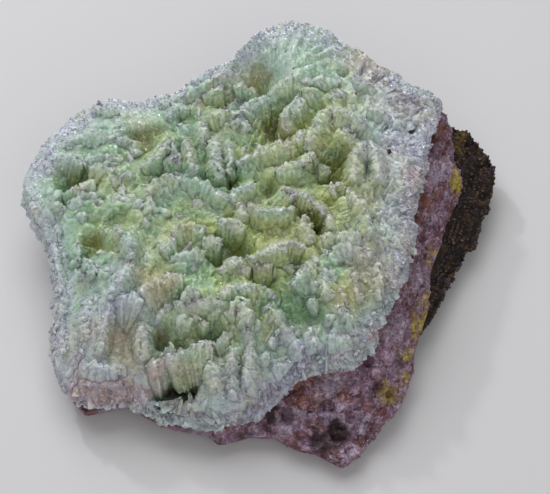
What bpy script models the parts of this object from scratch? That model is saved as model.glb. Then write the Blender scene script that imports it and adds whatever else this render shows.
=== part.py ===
"""Prehnite on altered basalt, a hand specimen about 106 mm across.

A crust of pale green prehnite, its blades grown together in curved ridges around deep hollows, stands on
a band of altered mauve rock over a block of dark basalt. Lengths are in millimetres until a mesh is
written. +X is right, +Y is back, +Z is up, and the flat underside of the basalt is at Z 0.
"""

import math

import bmesh
import bpy
import numpy as np
from mathutils import Vector, noise

# Driving dimensions
MM = 0.001
CENTRE = (-1.6, 1.4)          # middle of the specimen's box in the frame of the readings
HEART = (-4.0, 4.0)           # point that the outlines run around
GAP = 0.34                    # between one layer and the next
EYE = (0.0, -214.6, 345.4)    # the readings were made from here, 57 degrees above the horizon
READING_HEIGHT = 28.0         # level plane that the places below were read on
CRUST_LEVEL = 23.0            # floor of the crystal field between its ridges
CREST_THICKNESS = 2.3
ROOT_DEPTH = 9.5              # how far a blade's foot reaches below its crest
END_DROP = 1.1                # of a ridge's ends below its middle
END_THINNING = 0.7
SOLE_SHARE = 0.95             # of the rim's radius, the furthest out that a blade's foot stands
FOOT_STEP = 1.2               # least height of the steep foot of the altered wall
SLOPE_SHARE = 0.85            # of the altered wall, the part above that steep foot
SEED = 24


# Widest lines of the three layers, clockwise from the back: x and y on the reading plane, and height
CRUST_RIM = (
    (2, 52, 32.2), (10, 50, 32), (15, 46, 31), (18, 44.5, 30.4), (22.6, 39.5, 29), (27, 36, 27.6),
    (30.5, 32.8, 26.8), (35, 30, 25.8), (35.6, 26.5, 24.5), (34, 24, 24.2), (32, 17, 23.8),
    (31, 9, 23.3), (29, 4, 23), (28, 0, 22.5), (28.5, -4, 22), (27.5, -9, 21.2), (26, -14, 20.6),
    (24, -19, 20), (21.5, -23.8, 19.5), (19.5, -28.7, 18.8), (18.5, -31.6, 18), (16.6, -34.1, 17.6),
    (13.7, -35.5, 17.4), (8.8, -35.5, 16.5), (3.9, -38, 14.5), (2, -41.4, 12.5), (-1, -45.3, 10.5),
    (-6, -48.5, 9), (-12, -49.8, 8.6), (-20, -48, 8.6), (-25, -46, 9), (-29, -43.7, 9.5),
    (-37, -44, 10), (-41, -40.5, 11), (-43.4, -36, 12), (-44.4, -30, 13), (-44.2, -24, 14),
    (-44.2, -18, 14.5), (-45.5, -13, 15.5), (-46.5, -8, 16.5), (-48, -4, 17), (-50.5, 0, 18),
    (-52.3, 4.5, 19), (-52.6, 9, 20), (-51.6, 13, 20.8), (-50, 17, 21.5), (-46.4, 21.3, 22.5),
    (-44, 25, 23.2), (-41, 28, 23.8), (-37, 29.6, 24.2), (-29, 29.2, 25), (-26, 31, 25.6),
    (-22, 32, 26.4), (-18, 35.6, 27.2), (-15, 37.6, 28.4), (-10, 40.6, 29.8), (-7.5, 44.4, 31),
    (-3.5, 48.8, 31.8),
)
ALTERED_WALL = (
    (37, 26, 18), (38.5, 21, 14.5), (39, 15, 12.6), (39, 10, 12), (38, 3, 11), (36.5, -4, 10),
    (35, -10, 9), (33.5, -15, 8.4), (32, -20, 8), (31, -25, 7.2), (29.5, -29, 6.6), (27.5, -35, 6),
    (26, -42, 5.4), (24.5, -45.5, 5.2), (20, -50, 5), (17, -55, 4.8), (13, -58.4, 4.8),
    (8, -55.5, 4.8), (4, -54.5, 4.8), (0, -52, 4.8), (-5, -51.8, 4.8), (-11, -53.5, 4.6),
    (-13, -51.4, 4.6), (-18, -50.6, 4.6), (-22, -49.4, 4.6), (-26, -47, 4.8), (-28, -45.2, 4.8),
    (-31, -45.6, 4.8), (-37, -47, 4.8), (-40, -43.5, 5),
)
BASALT_SIDE = (
    (40, 21, 11), (42, 20.5, 10.6), (45.4, 16, 9.6), (48, 12, 8.6), (47, 5, 7.6), (45, 0, 7),
    (42.8, -5, 6.4), (40, -12, 6), (38, -17, 5.4), (35, -22, 5), (33, -26, 4.6),
)
# The same lines where the crust hides them: x, y and height themselves
ALTERED_HIDDEN = (
    (-43, -18, 5.5), (-42.5, -6, 5.5), (-45, 5, 5.5), (-47, 14, 5.6), (-43, 22.5, 6), (-35, 27, 7),
    (-23, 29, 8.5), (-11, 34.5, 10), (-3, 40, 12), (8, 41, 14), (18, 38, 15), (28, 34.5, 17),
    (35.5, 33.5, 18),
)
BASALT_HIDDEN = (
    (28, -20, 4), (20, -26, 3), (8, -29, 2.6), (-8, -28, 2), (-22, -25, 1.8), (-32, -19, 1.8),
    (-37, -8, 1.8), (-38, 8, 1.8), (-34, 20, 2), (-24, 26, 3), (-10, 32.5, 4), (4, 37, 6), (16, 35.6, 8),
    (28, 33.4, 9), (37, 33.6, 10),
)

# Broad swells and basins of the crust: x, y, radius and rise
SWELLS = (
    (3, 42, 11, 9.5), (-12, 35, 7, 2), (24, 30, 10, 2.5), (27, 12, 8, 1.2), (-44, 19, 9, 1.5),
    (-34, 25, 9, 2.6), (-3, 35, 5.5, -5.5), (-20, 24, 6, 2), (14, 22, 6, 1.5), (-20, 5, 7, 1.5),
    (-32, -6, 6, 2), (2, 2, 8, 1), (-38, -18, 8, 3), (14, -16, 8, 1.5), (-12, -14, 7, 1.5),
)
# Hollows between the ridges, places on the reading plane: x, y, radius and depth
HOLLOWS = (
    (1.5, 22, 3.6, 5), (-11.5, 8, 3.2, 4), (-10, -10.5, 4.2, 4), (8.5, -1.5, 3.6, 4),
    (12.5, 11, 3.6, 4), (-2.5, -15.5, 2.6, 3), (-12, -31.5, 3.2, 3), (5, -24, 4.5, 2.5),
    (-42, 8, 4.2, 4.5), (-28.5, 19, 3.2, 3.5), (-21, 12.5, 3, 2.5), (-37.5, -8, 2.6, 2.5),
    (-21.5, -21, 2.8, 3.5), (-31.5, -30, 3.4, 3), (-19.5, -34, 2.4, 3), (-10, 29.5, 3, 3),
    (19.8, -3, 2, 2.5), (-15, 31, 2.5, 1),
)
# Holes that go in under the blades: x, y on the reading plane, then half width, depth and height
CRUST_HOLES = (
    (-20, -41.2, 3.6, 4.5, 1.9), (-22.8, -30.5, 1.3, 3.5, 2.2), (-18.6, -35, 1.3, 3.5, 2.6),
    (3.6, -12.8, 1.6, 3, 0.9), (20.2, -3.6, 1, 3, 1.9), (-4, -15.6, 1.8, 3, 1), (9.6, -2.4, 2, 3, 1.6),
)
# Vugs in the altered rock: x, y, height and the three half axes
ALTERED_VUGS = (
    (10.9, -36.8, 9.2, 2.1, 2.6, 2.2), (13, -40.8, 7, 1.5, 3.2, 2.2), (19.4, -27.6, 14.6, 1.2, 2, 1.2),
    (2.6, -37, 7.6, 1.4, 2, 1.2), (31.8, 8.6, 19, 1.2, 1, 1), (24.4, -32.6, 8.8, 1.1, 1.2, 0.9),
)

# Crests of the ridges on the reading plane, each with its rise over the crystal field
RIDGES = (
    # Lavender-white rim of the left lobe, back to front
    (2.2, (-51.5, 14), (-50, 18), (-46, 22)),
    (2.2, (-46, 22), (-42, 25.5), (-37.5, 27.5), (-32.5, 27.5), (-28, 27)),
    (1.8, (-50.8, 10), (-50, 4), (-48.4, -1)),
    # Mint tablets of the left lobe
    (3.2, (-45, 18), (-40, 20.5), (-35, 21), (-31, 19.5)),
    (3.2, (-41, 15), (-36.5, 16.5), (-32.5, 15.5)),
    (3.6, (-47.5, 13.5), (-44, 14.5), (-41, 13)),
    (4.0, (-39.5, 12), (-36, 11), (-33, 12)),
    (4.6, (-35, 9.5), (-31, 10.5), (-27.5, 10)),
    (3.0, (-43, 0.5), (-39.5, 2.5), (-36.5, 0.5)),
    (4.2, (-34.5, 2.5), (-31, 3), (-28, 0.5)),
    (5.2, (-29, 12.5), (-26, 16.5), (-23.8, 20.5)),
    # Ridge with the dark pocket behind it
    (5.6, (-27, 6.5), (-24, 9.5), (-20, 9.2)),
    (5.6, (-20, 9.2), (-16, 9), (-13, 6.5), (-9.8, 5)),
    (4.2, (-27, 5), (-25.8, 1)),
    (3.4, (-24, 14.5), (-19.5, 15)),
    (4.6, (-22, 20.5), (-21, 14.5)),
    (5.2, (-19, 20), (-18, 15), (-16.8, 11.5)),
    (5.2, (-16.2, 25), (-15, 18.5)),
    (6.0, (-12.6, 21), (-12.2, 14), (-11.6, 9.5)),
    (5.0, (-10.2, 19.5), (-9.4, 11)),
    (4.0, (-24.5, 26), (-22, 29.5), (-18.5, 29.5)),
    (2.4, (-25.5, 30), (-20, 32), (-16, 35.5), (-11.5, 39)),
    # Sugary ridges of the middle back
    (4.8, (-15, 25.5), (-11.5, 27.2), (-7, 27)),
    (4.8, (-10, 24), (-7.4, 24.8), (-6, 22)),
    (5.6, (-7, 27), (-4.5, 29.8), (-1, 31)),
    (5.2, (-1, 31), (1.2, 33.5), (4, 36.2)),
    (5.8, (3.2, 22.5), (3.6, 26.5), (6.5, 31)),
    (5.0, (6.5, 31), (8.6, 33.5)),
    # Great blade of the middle right and its yellow-green flank
    (6.6, (12, 28), (9.4, 23), (7.4, 17.5)),
    (6.0, (12, 28), (16, 27), (20, 24.5)),
    (4.4, (14, 22), (17, 20)),
    (5.6, (5.5, 13.5), (6.2, 16), (8.2, 17)),
    (5.4, (4.2, 18.5), (6, 22.5)),
    (5.6, (-7.4, 13), (-4.5, 15.5), (-1, 17.4), (3.5, 18.4)),
    (5.4, (0, 12), (3, 12.5), (5.5, 13.5)),
    # Tall lozenge blade
    (6.2, (17, 8.5), (16.8, 15), (19.6, 19.4)),
    (6.0, (19.6, 19.4), (22.2, 15.5), (22, 9)),
    # Diagonal ridges and curved blades right of the middle
    (6.0, (2.5, 8), (6, 7), (9.5, 4.6), (11.6, 1.5)),
    (5.6, (11.2, 7), (13.4, 8.4), (15.4, 7.4)),
    (6.0, (14.5, 5), (17, 3.6), (18.6, -1.5), (19, -5)),
    (4.6, (12.5, 0.5), (13, -3.5)),
    (5.4, (-5.2, 2.4), (-1.2, 2), (3.8, 3)),
    (5.6, (-9.8, 4.6), (-7.8, 7), (-5, 9)),
    (4.4, (-7.4, 3), (-6.8, -1)),
    (4.6, (-12, -1.2), (-9.4, -1.4), (-6, -3.4)),
    (4.4, (5.4, -0.5), (7.4, -6.5)),
    # Peach-flecked lobe and its neighbours
    (5.4, (-21.5, -4.5), (-18.5, -2.4), (-14.5, -3.6)),
    (4.6, (-24.5, -7.5), (-21.5, -5)),
    (4.8, (-15, -5.5), (-11, -6)),
    (5.0, (-21, -11.4), (-17.4, -9.6), (-14.6, -9.4)),
    # Bright tablet in the middle front
    (6.0, (-6, -9.6), (-1, -7.6), (3, -5.8), (6.4, -7.6)),
    (4.2, (-4.6, -12), (-0.5, -12.2)),
    (3.8, (-11, -14), (-9, -11.6), (-6.2, -11.4)),
    (5.0, (-12, -18), (-8, -16.6), (-3.4, -17)),
    (5.6, (-19.4, -19.4), (-17, -17.2), (-15, -17.6)),
    (4.6, (-20.4, -22), (-15, -21), (-10.6, -21.6)),
    (5.0, (-10, -24), (-6.8, -20.6), (-5.8, -27)),
    (5.0, (-5.8, -27), (-4.6, -34), (-6, -41)),
    (5.2, (9.4, -10.6), (6.8, -13.6), (4.8, -17.6)),
    # White broken blades towards the right
    (4.2, (9.8, -6), (13, -4.8), (18.5, -6)),
    (4.0, (11, -9.6), (15, -8.6), (20, -9.6)),
    (3.6, (10, -14), (12, -20)),
    (3.4, (15, -13), (16.4, -21)),
    (3.4, (12.8, -22), (15.2, -25), (16, -28.5)),
    (3.0, (10.6, -30), (14, -30.6), (18, -27.5)),
    (3.0, (0, -23), (3, -29), (6, -33.5)),
    (2.6, (-1, -36), (3.4, -34.6)),
    # Long white ridge of the front left
    (5.4, (-33, -2.6), (-30.2, -6), (-29.6, -10.4)),
    (5.4, (-29.6, -10.4), (-31.6, -15), (-34.2, -20)),
    (4.6, (-34.2, -20), (-35.4, -26), (-36, -33)),
    (4.6, (-33, -20), (-29.6, -20.2), (-27.2, -22.5)),
    (5.4, (-27.4, -19), (-24, -16.4), (-19, -15.2)),
    (3.4, (-40.5, -15), (-37, -13.6), (-33.6, -14.6)),
    (2.4, (-45, -7), (-43.6, -13), (-42.8, -19)),
    (2.2, (-42.8, -19), (-43.2, -26), (-42.4, -33)),
    (3.6, (-41.4, -7), (-40.8, -12)),
    (3.8, (-38, -10.5), (-36, -14)),
    (3.0, (-39, -22), (-38.6, -30)),
    (3.8, (-38, -35), (-33.4, -36), (-30, -34.6)),
    (3.4, (-38, -39), (-33, -39.2), (-28.6, -38)),
    (4.4, (-27, -26), (-26.4, -31), (-26.6, -35)),
    (3.8, (-25.6, -36.6), (-22.4, -34.4), (-20.4, -32)),
    (5.2, (-20.8, -38.2), (-17, -34.4), (-12.4, -33)),
    (4.6, (-12.6, -34), (-11, -41)),
    (4.4, (-8.6, -32), (-8.4, -43)),
    (3.0, (-24, -44.4), (-19, -45.4), (-13.4, -43)),
    # Broken dome at the back: its rim and the rays of its fan
    (1.6, (-11.5, 41), (-7.5, 44.8), (-3.6, 48.8)),
    (1.6, (-3.6, 48.8), (2, 51.4), (6.5, 51)),
    (1.6, (6.5, 51), (12, 47.4), (17, 44)),
    (1.4, (17, 44), (21, 40.4), (24.6, 36.8)),
    (1.6, (2, 44), (3.4, 49.6)),
    (1.6, (7, 42), (9.6, 47.6)),
    (2.4, (5, 38.6), (9.4, 37.4), (13.6, 38)),
    (2.8, (11.6, 31.4), (16, 33.4)),
    (2.6, (17, 37), (22, 33)),
    # Fibrous fan of the right side, its crystals running out to the edge
    (1.8, (24.6, 36.8), (30, 32.6), (34.4, 29.4)),
    (3.2, (20.4, 28.6), (25, 27.4), (28.6, 24)),
    (2.4, (26, 31), (31.6, 27.6)),
    (2.2, (30, 27), (32.6, 20)),
    (3.0, (22, 22), (28, 19.4)),
    (2.4, (24, 17), (30, 16)),
    (2.8, (21.6, 5.4), (27, 4.6)),
    (2.6, (21.6, 1), (27.4, -1.6)),
    (2.8, (21, -6), (26.4, -7)),
    (2.6, (21.4, -10), (24.6, -15)),
    (2.2, (20.6, -22), (20, -28)),
)


def clear_scene():
    for thing in list(bpy.data.objects):
        bpy.data.objects.remove(thing, do_unlink=True)


def new_collection(name, hidden=False):
    made = bpy.data.collections.new(name)
    bpy.context.scene.collection.children.link(made)
    made.hide_render = hidden
    return made


def finish(name, colour, roughness):
    """A plain surface of one colour, dull or glassy by its roughness."""
    made = bpy.data.materials.new(name)
    made.use_nodes = True
    shader = made.node_tree.nodes["Principled BSDF"]
    shader.inputs["Base Color"].default_value = (*colour, 1)
    shader.inputs["Roughness"].default_value = roughness
    shader.inputs["Metallic"].default_value = 0
    return made


def mesh_object(name, bm, home, parent=None, material=None):
    """The bmesh, in millimetres around CENTRE, as an object in metres."""
    for vert in bm.verts:
        vert.co = Vector((vert.co.x - CENTRE[0], vert.co.y - CENTRE[1], vert.co.z)) * MM
    bmesh.ops.recalc_face_normals(bm, faces=bm.faces)
    mesh = bpy.data.meshes.new(name)
    bm.to_mesh(mesh)
    bm.free()
    made = bpy.data.objects.new(name, mesh)
    made.parent = parent
    home.objects.link(made)
    if material:
        mesh.materials.append(material)
    return made


def sighted(x, y, z):
    """The point at height z that is seen, from EYE, behind or before (x, y) of the reading plane."""
    share = (EYE[2] - z) / (EYE[2] - READING_HEIGHT)
    return EYE[0] + (x - EYE[0]) * share, EYE[1] + (y - EYE[1]) * share, z


def polar(readings, hidden=()):
    """An outline as angle, radius and height around HEART, over more than one turn."""
    x, y, z = np.array([sighted(*reading) for reading in readings] + list(hidden), float).T
    angle = np.arctan2(y - HEART[1], x - HEART[0])
    order = np.argsort(angle)
    angle, radius, z = angle[order], np.hypot(x - HEART[0], y - HEART[1])[order], z[order]
    turn = 2 * math.pi
    return (
        np.concatenate([angle - turn, angle, angle + turn]),
        np.tile(radius, 3),
        np.tile(z, 3),
    )


CRUST_EDGE = polar(CRUST_RIM)
ALTERED_EDGE = polar(ALTERED_WALL, ALTERED_HIDDEN)
BASALT_EDGE = polar(BASALT_SIDE, BASALT_HIDDEN)


def reach(edge, angle):
    """Radius and height of an outline in one direction."""
    return float(np.interp(angle, edge[0], edge[1])), float(np.interp(angle, edge[0], edge[2]))


def seam_height(x, y):
    """Top of the altered rock: it climbs to the right, where the seam shows in the broken wall."""
    return 13 + 0.2 * x + 0.0015 * x * x + 0.08 * y


def basalt_height(x, y):
    """Top of the basalt: a plane that climbs to the back right, no thinner than 3 mm."""
    return max(3.0, 5.5 + 0.1 * x + 0.11 * y)


def seam_share(angle):
    """The crust's radius at the seam, as a share of its rim: whole at the right, undercut elsewhere."""
    return 0.93 + 0.07 * max(0.0, math.cos(angle + 0.35)) ** 0.5


def rough(x, y, z, size, amount):
    return amount * noise.noise(Vector((x, y, z)) / size)


def swell(x, y, humps):
    return sum(h * math.exp(-((x - a) ** 2 + (y - b) ** 2) / r**2) for a, b, r, h in humps)


def field_height(x, y):
    """The crystal field without its ridges: level inside, rolling over to the rim."""
    away = math.hypot(x - HEART[0], y - HEART[1])
    radius, rim = reach(CRUST_EDGE, math.atan2(y - HEART[1], x - HEART[0]))
    share = min(1.0, away / radius)
    start = 0.55 if rim < 22 else 0.75
    fall = max(0.0, (share - start) / (1 - start)) ** 1.5
    inside = CRUST_LEVEL + swell(x, y, SWELLS)
    return inside * (1 - fall) + rim * fall + rough(x, y, 0, 7, 0.9)


def seat(x, y, rise=0.0):
    """The point that stands rise above the field and is seen at (x, y) of the reading plane."""
    height = READING_HEIGHT
    for _ in range(14):
        place = sighted(x, y, height)
        height = 0.5 * (height + field_height(*place[:2]) + rise)
    return Vector(sighted(x, y, height))


POCKETS = [(*seat(x, y).xy, radius, -depth) for x, y, radius, depth in HOLLOWS]


def remapped_ball(segments, rings, place):
    """A ball whose every point is moved to place(angle, share of the way from top to bottom)."""
    bm = bmesh.new()
    bmesh.ops.create_uvsphere(bm, u_segments=segments, v_segments=rings, radius=1)
    for vert in bm.verts:
        down = math.acos(max(-1.0, min(1.0, vert.co.z))) / math.pi
        vert.co = place(math.atan2(vert.co.y, vert.co.x), down)
    return bm


def around_heart(angle, radius):
    return HEART[0] + radius * math.cos(angle), HEART[1] + radius * math.sin(angle)


def held_in(spot, share):
    """The place seen from above, drawn in to a share of the crust's rim where it lies outside it."""
    angle = math.atan2(spot.y - HEART[1], spot.x - HEART[0])
    away = math.hypot(spot.x - HEART[0], spot.y - HEART[1])
    return Vector(around_heart(angle, min(away, share * reach(CRUST_EDGE, angle)[0])))


def crust_point(angle, down):
    """Top of the field, then the side down to the seam, then the sole on the seam."""
    top, side = 0.68, 0.84
    radius, rim = reach(CRUST_EDGE, angle)
    share = seam_share(angle)
    if down <= top:
        x, y = around_heart(angle, radius * down / top)
        return Vector((x, y, field_height(x, y) + swell(x, y, POCKETS)))
    if down < side:
        part = (down - top) / (side - top)
        bulge = 1 + 0.02 * math.sin(math.pi * part)
        x, y = around_heart(angle, radius * (bulge + (share - 1) * part**2))
        foot = seam_height(x, y) + GAP / 2
        z = rim + (foot - rim) * part
        return Vector((x + rough(x, y, z, 5, 0.9), y + rough(y, z, x, 5, 0.9), z))
    x, y = around_heart(angle, radius * share * (1 - down) / (1 - side))
    return Vector((x, y, seam_height(x, y) + GAP / 2))


def altered_point(angle, down):
    """Roof on the seam, then the sloping broken wall, then the sole on the basalt."""
    roof, wall = 0.3, 0.8
    foot_radius, foot = reach(ALTERED_EDGE, angle)
    roof_radius = reach(CRUST_EDGE, angle)[0] * seam_share(angle) - 0.2
    if down <= roof:
        x, y = around_heart(angle, roof_radius * down / roof)
        return Vector((x, y, seam_height(x, y) - GAP / 2))
    if down < wall:
        part = (down - roof) / (wall - roof)
        slope = min(1.0, part / SLOPE_SHARE)
        steep = max(0.0, part - SLOPE_SHARE) / (1 - SLOPE_SHARE)
        x, y = around_heart(angle, roof_radius + (foot_radius - roof_radius) * slope)
        start = seam_height(x, y) - GAP / 2
        low = basalt_height(x, y) + GAP
        foot = max(foot, low + FOOT_STEP)
        z = max(start + (foot - start) * slope + (low - foot) * steep, low)
        calm = math.sin(math.pi * part) * min(1.0, (start - low) / 9) ** 2
        ledge = calm * (rough(x, y, z, 7, 4.4) + rough(x, y, z, 3.5, 2.4))
        return Vector((x + ledge * math.cos(angle), y + ledge * math.sin(angle), z))
    x, y = around_heart(angle, 0.985 * foot_radius * (1 - down) / (1 - wall))
    return Vector((x, y, basalt_height(x, y) + GAP))


def basalt_point(angle, down):
    """Roof under the altered rock, then the rough side, then the flat sole at height 0."""
    roof, side = 0.4, 0.8
    radius, rim = reach(BASALT_EDGE, angle)
    cover = reach(ALTERED_EDGE, angle)[0]
    if down <= roof:
        away = 0.95 * radius * down / roof
        x, y = around_heart(angle, away)
        bare = max(0.0, away - cover) / max(radius - cover, 1.0)
        sunk = 0.8 * min(1.0, 6 * bare) + rough(x, y, 0, 3, 1.2) * bare
        return Vector((x, y, basalt_height(x, y) * (1 - bare) + rim * bare - sunk))
    if down < side:
        part = (down - roof) / (side - roof)
        x, y = around_heart(angle, radius * (0.95 + 0.05 * math.sin(math.pi * min(1, part + 0.3))))
        start = rim if radius > cover else basalt_height(x, y)
        z = start * (1 - part)
        chip = math.sin(math.pi * part) * (rough(x, y, z, 7, 4.4) + rough(x, y, z, 3, 2.2))
        return Vector((x + chip * math.cos(angle), y + chip * math.sin(angle), z))
    x, y = around_heart(angle, 0.93 * radius * (1 - down) / (1 - side))
    return Vector((x, y, 0))


def ridge(crest, thickness, random, home):
    """A wall of blades grown together: one four-cornered section at each point of the crest.

    A section is foot, slanting crest edge, foot, square to the crest line seen from above. The ends are
    lower and thinner than the middle.
    """
    bm = bmesh.new()
    lean = random.uniform(-0.25, 0.25)
    sections = []
    for i, point in enumerate(crest):
        before, after = crest[max(i - 1, 0)], crest[min(i + 1, len(crest) - 1)]
        along = (after - before).to_2d().normalized()
        side = Vector((-along.y, along.x))
        end = (i == len(crest) - 1) - (i == 0)
        width = thickness * (END_THINNING if end else 1.0)
        chisel = random.uniform(-0.45, 0.45) * width
        section = []
        for across, raised in ((-1, False), (-1, True), (1, True), (1, False)):
            if raised:
                spot = held_in(point.xy + along * end * 0.3 * thickness + side * across * 0.32 * width, 1.0)
                z = point.z + across * chisel - (END_DROP if end else 0.0)
            else:
                spot = point.xy + along * end * 0.9 * thickness
                spot = held_in(spot + side * (across * 1.1 * width + lean * ROOT_DEPTH), SOLE_SHARE)
                z = max(point.z - ROOT_DEPTH, seam_height(*spot) + GAP + 0.4)
            section.append(bm.verts.new((*spot, z)))
        sections.append(section)
    for near, far in zip(sections, sections[1:]):
        for i in range(4):
            bm.faces.new((near[i], near[(i + 1) % 4], far[(i + 1) % 4], far[i]))
    bm.faces.new(sections[0])
    bm.faces.new(sections[-1][::-1])
    return mesh_object("ridge", bm, home)


def grow_ridges(home):
    """Every ridge of the list, each a little different in thickness and slant."""
    random = np.random.default_rng(SEED)
    for rise, *places in RIDGES:
        crest = [seat(x, y, rise + random.uniform(-0.4, 0.4)) for x, y in places]
        ridge(crest, CREST_THICKNESS * random.uniform(0.8, 1.25), random, home)


def egg(x, y, z, half_axes, home):
    """A lumpy ellipsoid, used to hollow out a vug."""
    bm = bmesh.new()
    bmesh.ops.create_icosphere(bm, subdivisions=2, radius=1)
    for vert in bm.verts:
        lump = 1 + rough(*(vert.co * 3 + Vector((x, y, z))), 1.5, 0.35)
        vert.co = Vector((x, y, z)) + Vector([c * h * lump for c, h in zip(vert.co, half_axes)])
    return mesh_object("vug", bm, home)


def boolean(piece, operation, operands):
    made = piece.modifiers.new(operation.title(), "BOOLEAN")
    made.operation = operation
    made.operand_type = "COLLECTION"
    made.collection = operands
    made.solver = "MANIFOLD"


def hide(operands):
    for thing in operands.objects:
        thing.hide_render = True
        thing.display_type = "WIRE"


def prehnite_crust(specimen, stand):
    """The crystal crust: field, ridges and side in one solid, with holes in under its blades."""
    crystals = new_collection("crust crystals", hidden=True)
    holes = new_collection("crust holes", hidden=True)
    pale_green = finish("prehnite_pale_green", (0.55, 0.66, 0.48), 0.35)
    body = mesh_object("prehnite_crust", remapped_ball(44, 17, crust_point), specimen, stand, pale_green)
    grow_ridges(crystals)
    for x, y, half_width, depth, half_height in CRUST_HOLES:
        mouth = seat(x, y, 1.5)
        egg(mouth.x, mouth.y + 0.3 * depth, mouth.z, (half_width, depth, half_height), holes)
    boolean(body, "UNION", crystals)
    boolean(body, "DIFFERENCE", holes)
    hide(crystals)
    hide(holes)


def altered_zone(specimen, stand):
    """The band of altered rock, with the vugs that show in its broken wall."""
    vugs = new_collection("altered rock vugs", hidden=True)
    mauve = finish("altered_rock_mauve", (0.33, 0.21, 0.23), 0.8)
    body = mesh_object("altered_zone", remapped_ball(52, 11, altered_point), specimen, stand, mauve)
    for x, y, z, *half_axes in ALTERED_VUGS:
        egg(x, y, z, half_axes, vugs)
    boolean(body, "DIFFERENCE", vugs)
    hide(vugs)


def basalt_matrix(specimen, stand):
    """The dark block that the specimen rests on."""
    dark = finish("basalt_dark", (0.045, 0.03, 0.025), 0.85)
    mesh_object("basalt_matrix", remapped_ball(44, 10, basalt_point), specimen, stand, dark)


clear_scene()
specimen_pieces = new_collection("prehnite specimen")
specimen_stand = bpy.data.objects.new("specimen stand", None)
specimen_pieces.objects.link(specimen_stand)
basalt_matrix(specimen_pieces, specimen_stand)
altered_zone(specimen_pieces, specimen_stand)
prehnite_crust(specimen_pieces, specimen_stand)
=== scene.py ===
import math

import bpy
import numpy as np
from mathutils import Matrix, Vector


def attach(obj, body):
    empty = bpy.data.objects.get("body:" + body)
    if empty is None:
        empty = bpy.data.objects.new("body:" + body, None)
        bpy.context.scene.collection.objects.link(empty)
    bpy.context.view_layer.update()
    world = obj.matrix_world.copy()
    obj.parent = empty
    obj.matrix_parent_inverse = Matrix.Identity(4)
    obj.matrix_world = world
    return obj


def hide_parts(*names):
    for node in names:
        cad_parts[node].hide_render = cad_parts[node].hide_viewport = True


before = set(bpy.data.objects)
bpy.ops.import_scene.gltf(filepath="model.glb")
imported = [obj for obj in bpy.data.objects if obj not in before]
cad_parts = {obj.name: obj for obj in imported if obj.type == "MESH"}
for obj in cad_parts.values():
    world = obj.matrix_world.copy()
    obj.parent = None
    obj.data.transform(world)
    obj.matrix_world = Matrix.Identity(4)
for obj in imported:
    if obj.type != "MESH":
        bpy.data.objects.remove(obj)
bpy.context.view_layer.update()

# The specimen's outlines and fields
# The crust, the altered rock and the basalt are three layers around one upright line, as in the solid
# model. Lengths are in millimetres around CENTRE until a mesh is made. Outlines were read off on a level
# plane as seen from EYE, and sighted() carries them to their own heights.

MM = 0.001
CENTRE = np.array([-1.6, 1.4, 0.0])
HEART = (-4.0, 4.0)
EYE = (0.0, -214.6, 345.4)
READING_HEIGHT = 28.0
GAP = 0.34

# Widest lines clockwise from the back: x and y on the reading plane, and height
CRUST_RIM = (
    (2, 52, 32.2), (10, 50, 32), (15, 46, 31), (18, 44.5, 30.4), (22.6, 39.5, 29), (27, 36, 27.6),
    (30.5, 32.8, 26.8), (35, 30, 25.8), (35.6, 26.5, 24.5), (34, 24, 24.2), (32, 17, 23.8),
    (31, 9, 23.3), (29, 4, 23), (28, 0, 22.5), (28.5, -4, 22), (27.5, -9, 21.2), (26, -14, 20.6),
    (24, -19, 20), (21.5, -23.8, 19.5), (19.5, -28.7, 18.8), (18.5, -31.6, 18), (16.6, -34.1, 17.6),
    (13.7, -35.5, 17.4), (8.8, -35.5, 16.5), (3.9, -38, 14.5), (2, -41.4, 12.5), (-1, -45.3, 10.5),
    (-6, -48.5, 9), (-12, -49.8, 8.6), (-20, -48, 8.6), (-25, -46, 9), (-29, -43.7, 9.5),
    (-37, -44, 10), (-41, -40.5, 11), (-43.4, -36, 12), (-44.4, -30, 13), (-44.2, -24, 14),
    (-44.2, -18, 14.5), (-45.5, -13, 15.5), (-46.5, -8, 16.5), (-48, -4, 17), (-50.5, 0, 18),
    (-52.3, 4.5, 19), (-52.6, 9, 20), (-51.6, 13, 20.8), (-50, 17, 21.5), (-46.4, 21.3, 22.5),
    (-44, 25, 23.2), (-41, 28, 23.8), (-37, 29.6, 24.2), (-29, 29.2, 25), (-26, 31, 25.6),
    (-22, 32, 26.4), (-18, 35.6, 27.2), (-15, 37.6, 28.4), (-10, 40.6, 29.8), (-7.5, 44.4, 31),
    (-3.5, 48.8, 31.8),
)
ALTERED_WALL = (
    (37, 26, 18), (37.6, 23.2, 16), (37.9, 17.9, 13.5), (37.8, 14.7, 12.6), (38.6, 11, 12),
    (39.3, 8.5, 11.8), (39.2, 5.9, 11.4), (38.4, 3.3, 11), (37.2, 0.5, 10.6), (35.8, -2.5, 10.2),
    (34.8, -5.2, 9.8), (34.3, -7.9, 9.3), (33.3, -10.7, 8.9), (32.2, -13.6, 8.6), (31.6, -16.5, 8.3),
    (31.5, -19.1, 8.1), (31, -21.7, 7.7), (30.7, -24.6, 7.3), (29.7, -27.6, 6.8), (28.6, -30.8, 6.4),
    (27.4, -35, 6), (26, -42, 5.4), (24.5, -45.5, 5.2), (20, -50, 5), (17, -55, 4.8), (13, -58.4, 4.8),
    (8, -55.5, 4.8), (4, -54.5, 4.8), (0, -52, 4.8), (-5, -51.8, 4.8), (-11, -53.5, 4.6),
    (-13, -51.4, 4.6), (-18, -50.6, 4.6), (-22, -49.4, 4.6), (-26, -47, 4.8), (-28, -45.2, 4.8),
    (-31, -45.6, 4.8), (-37, -47, 4.8), (-40, -43.5, 5),
)
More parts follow.
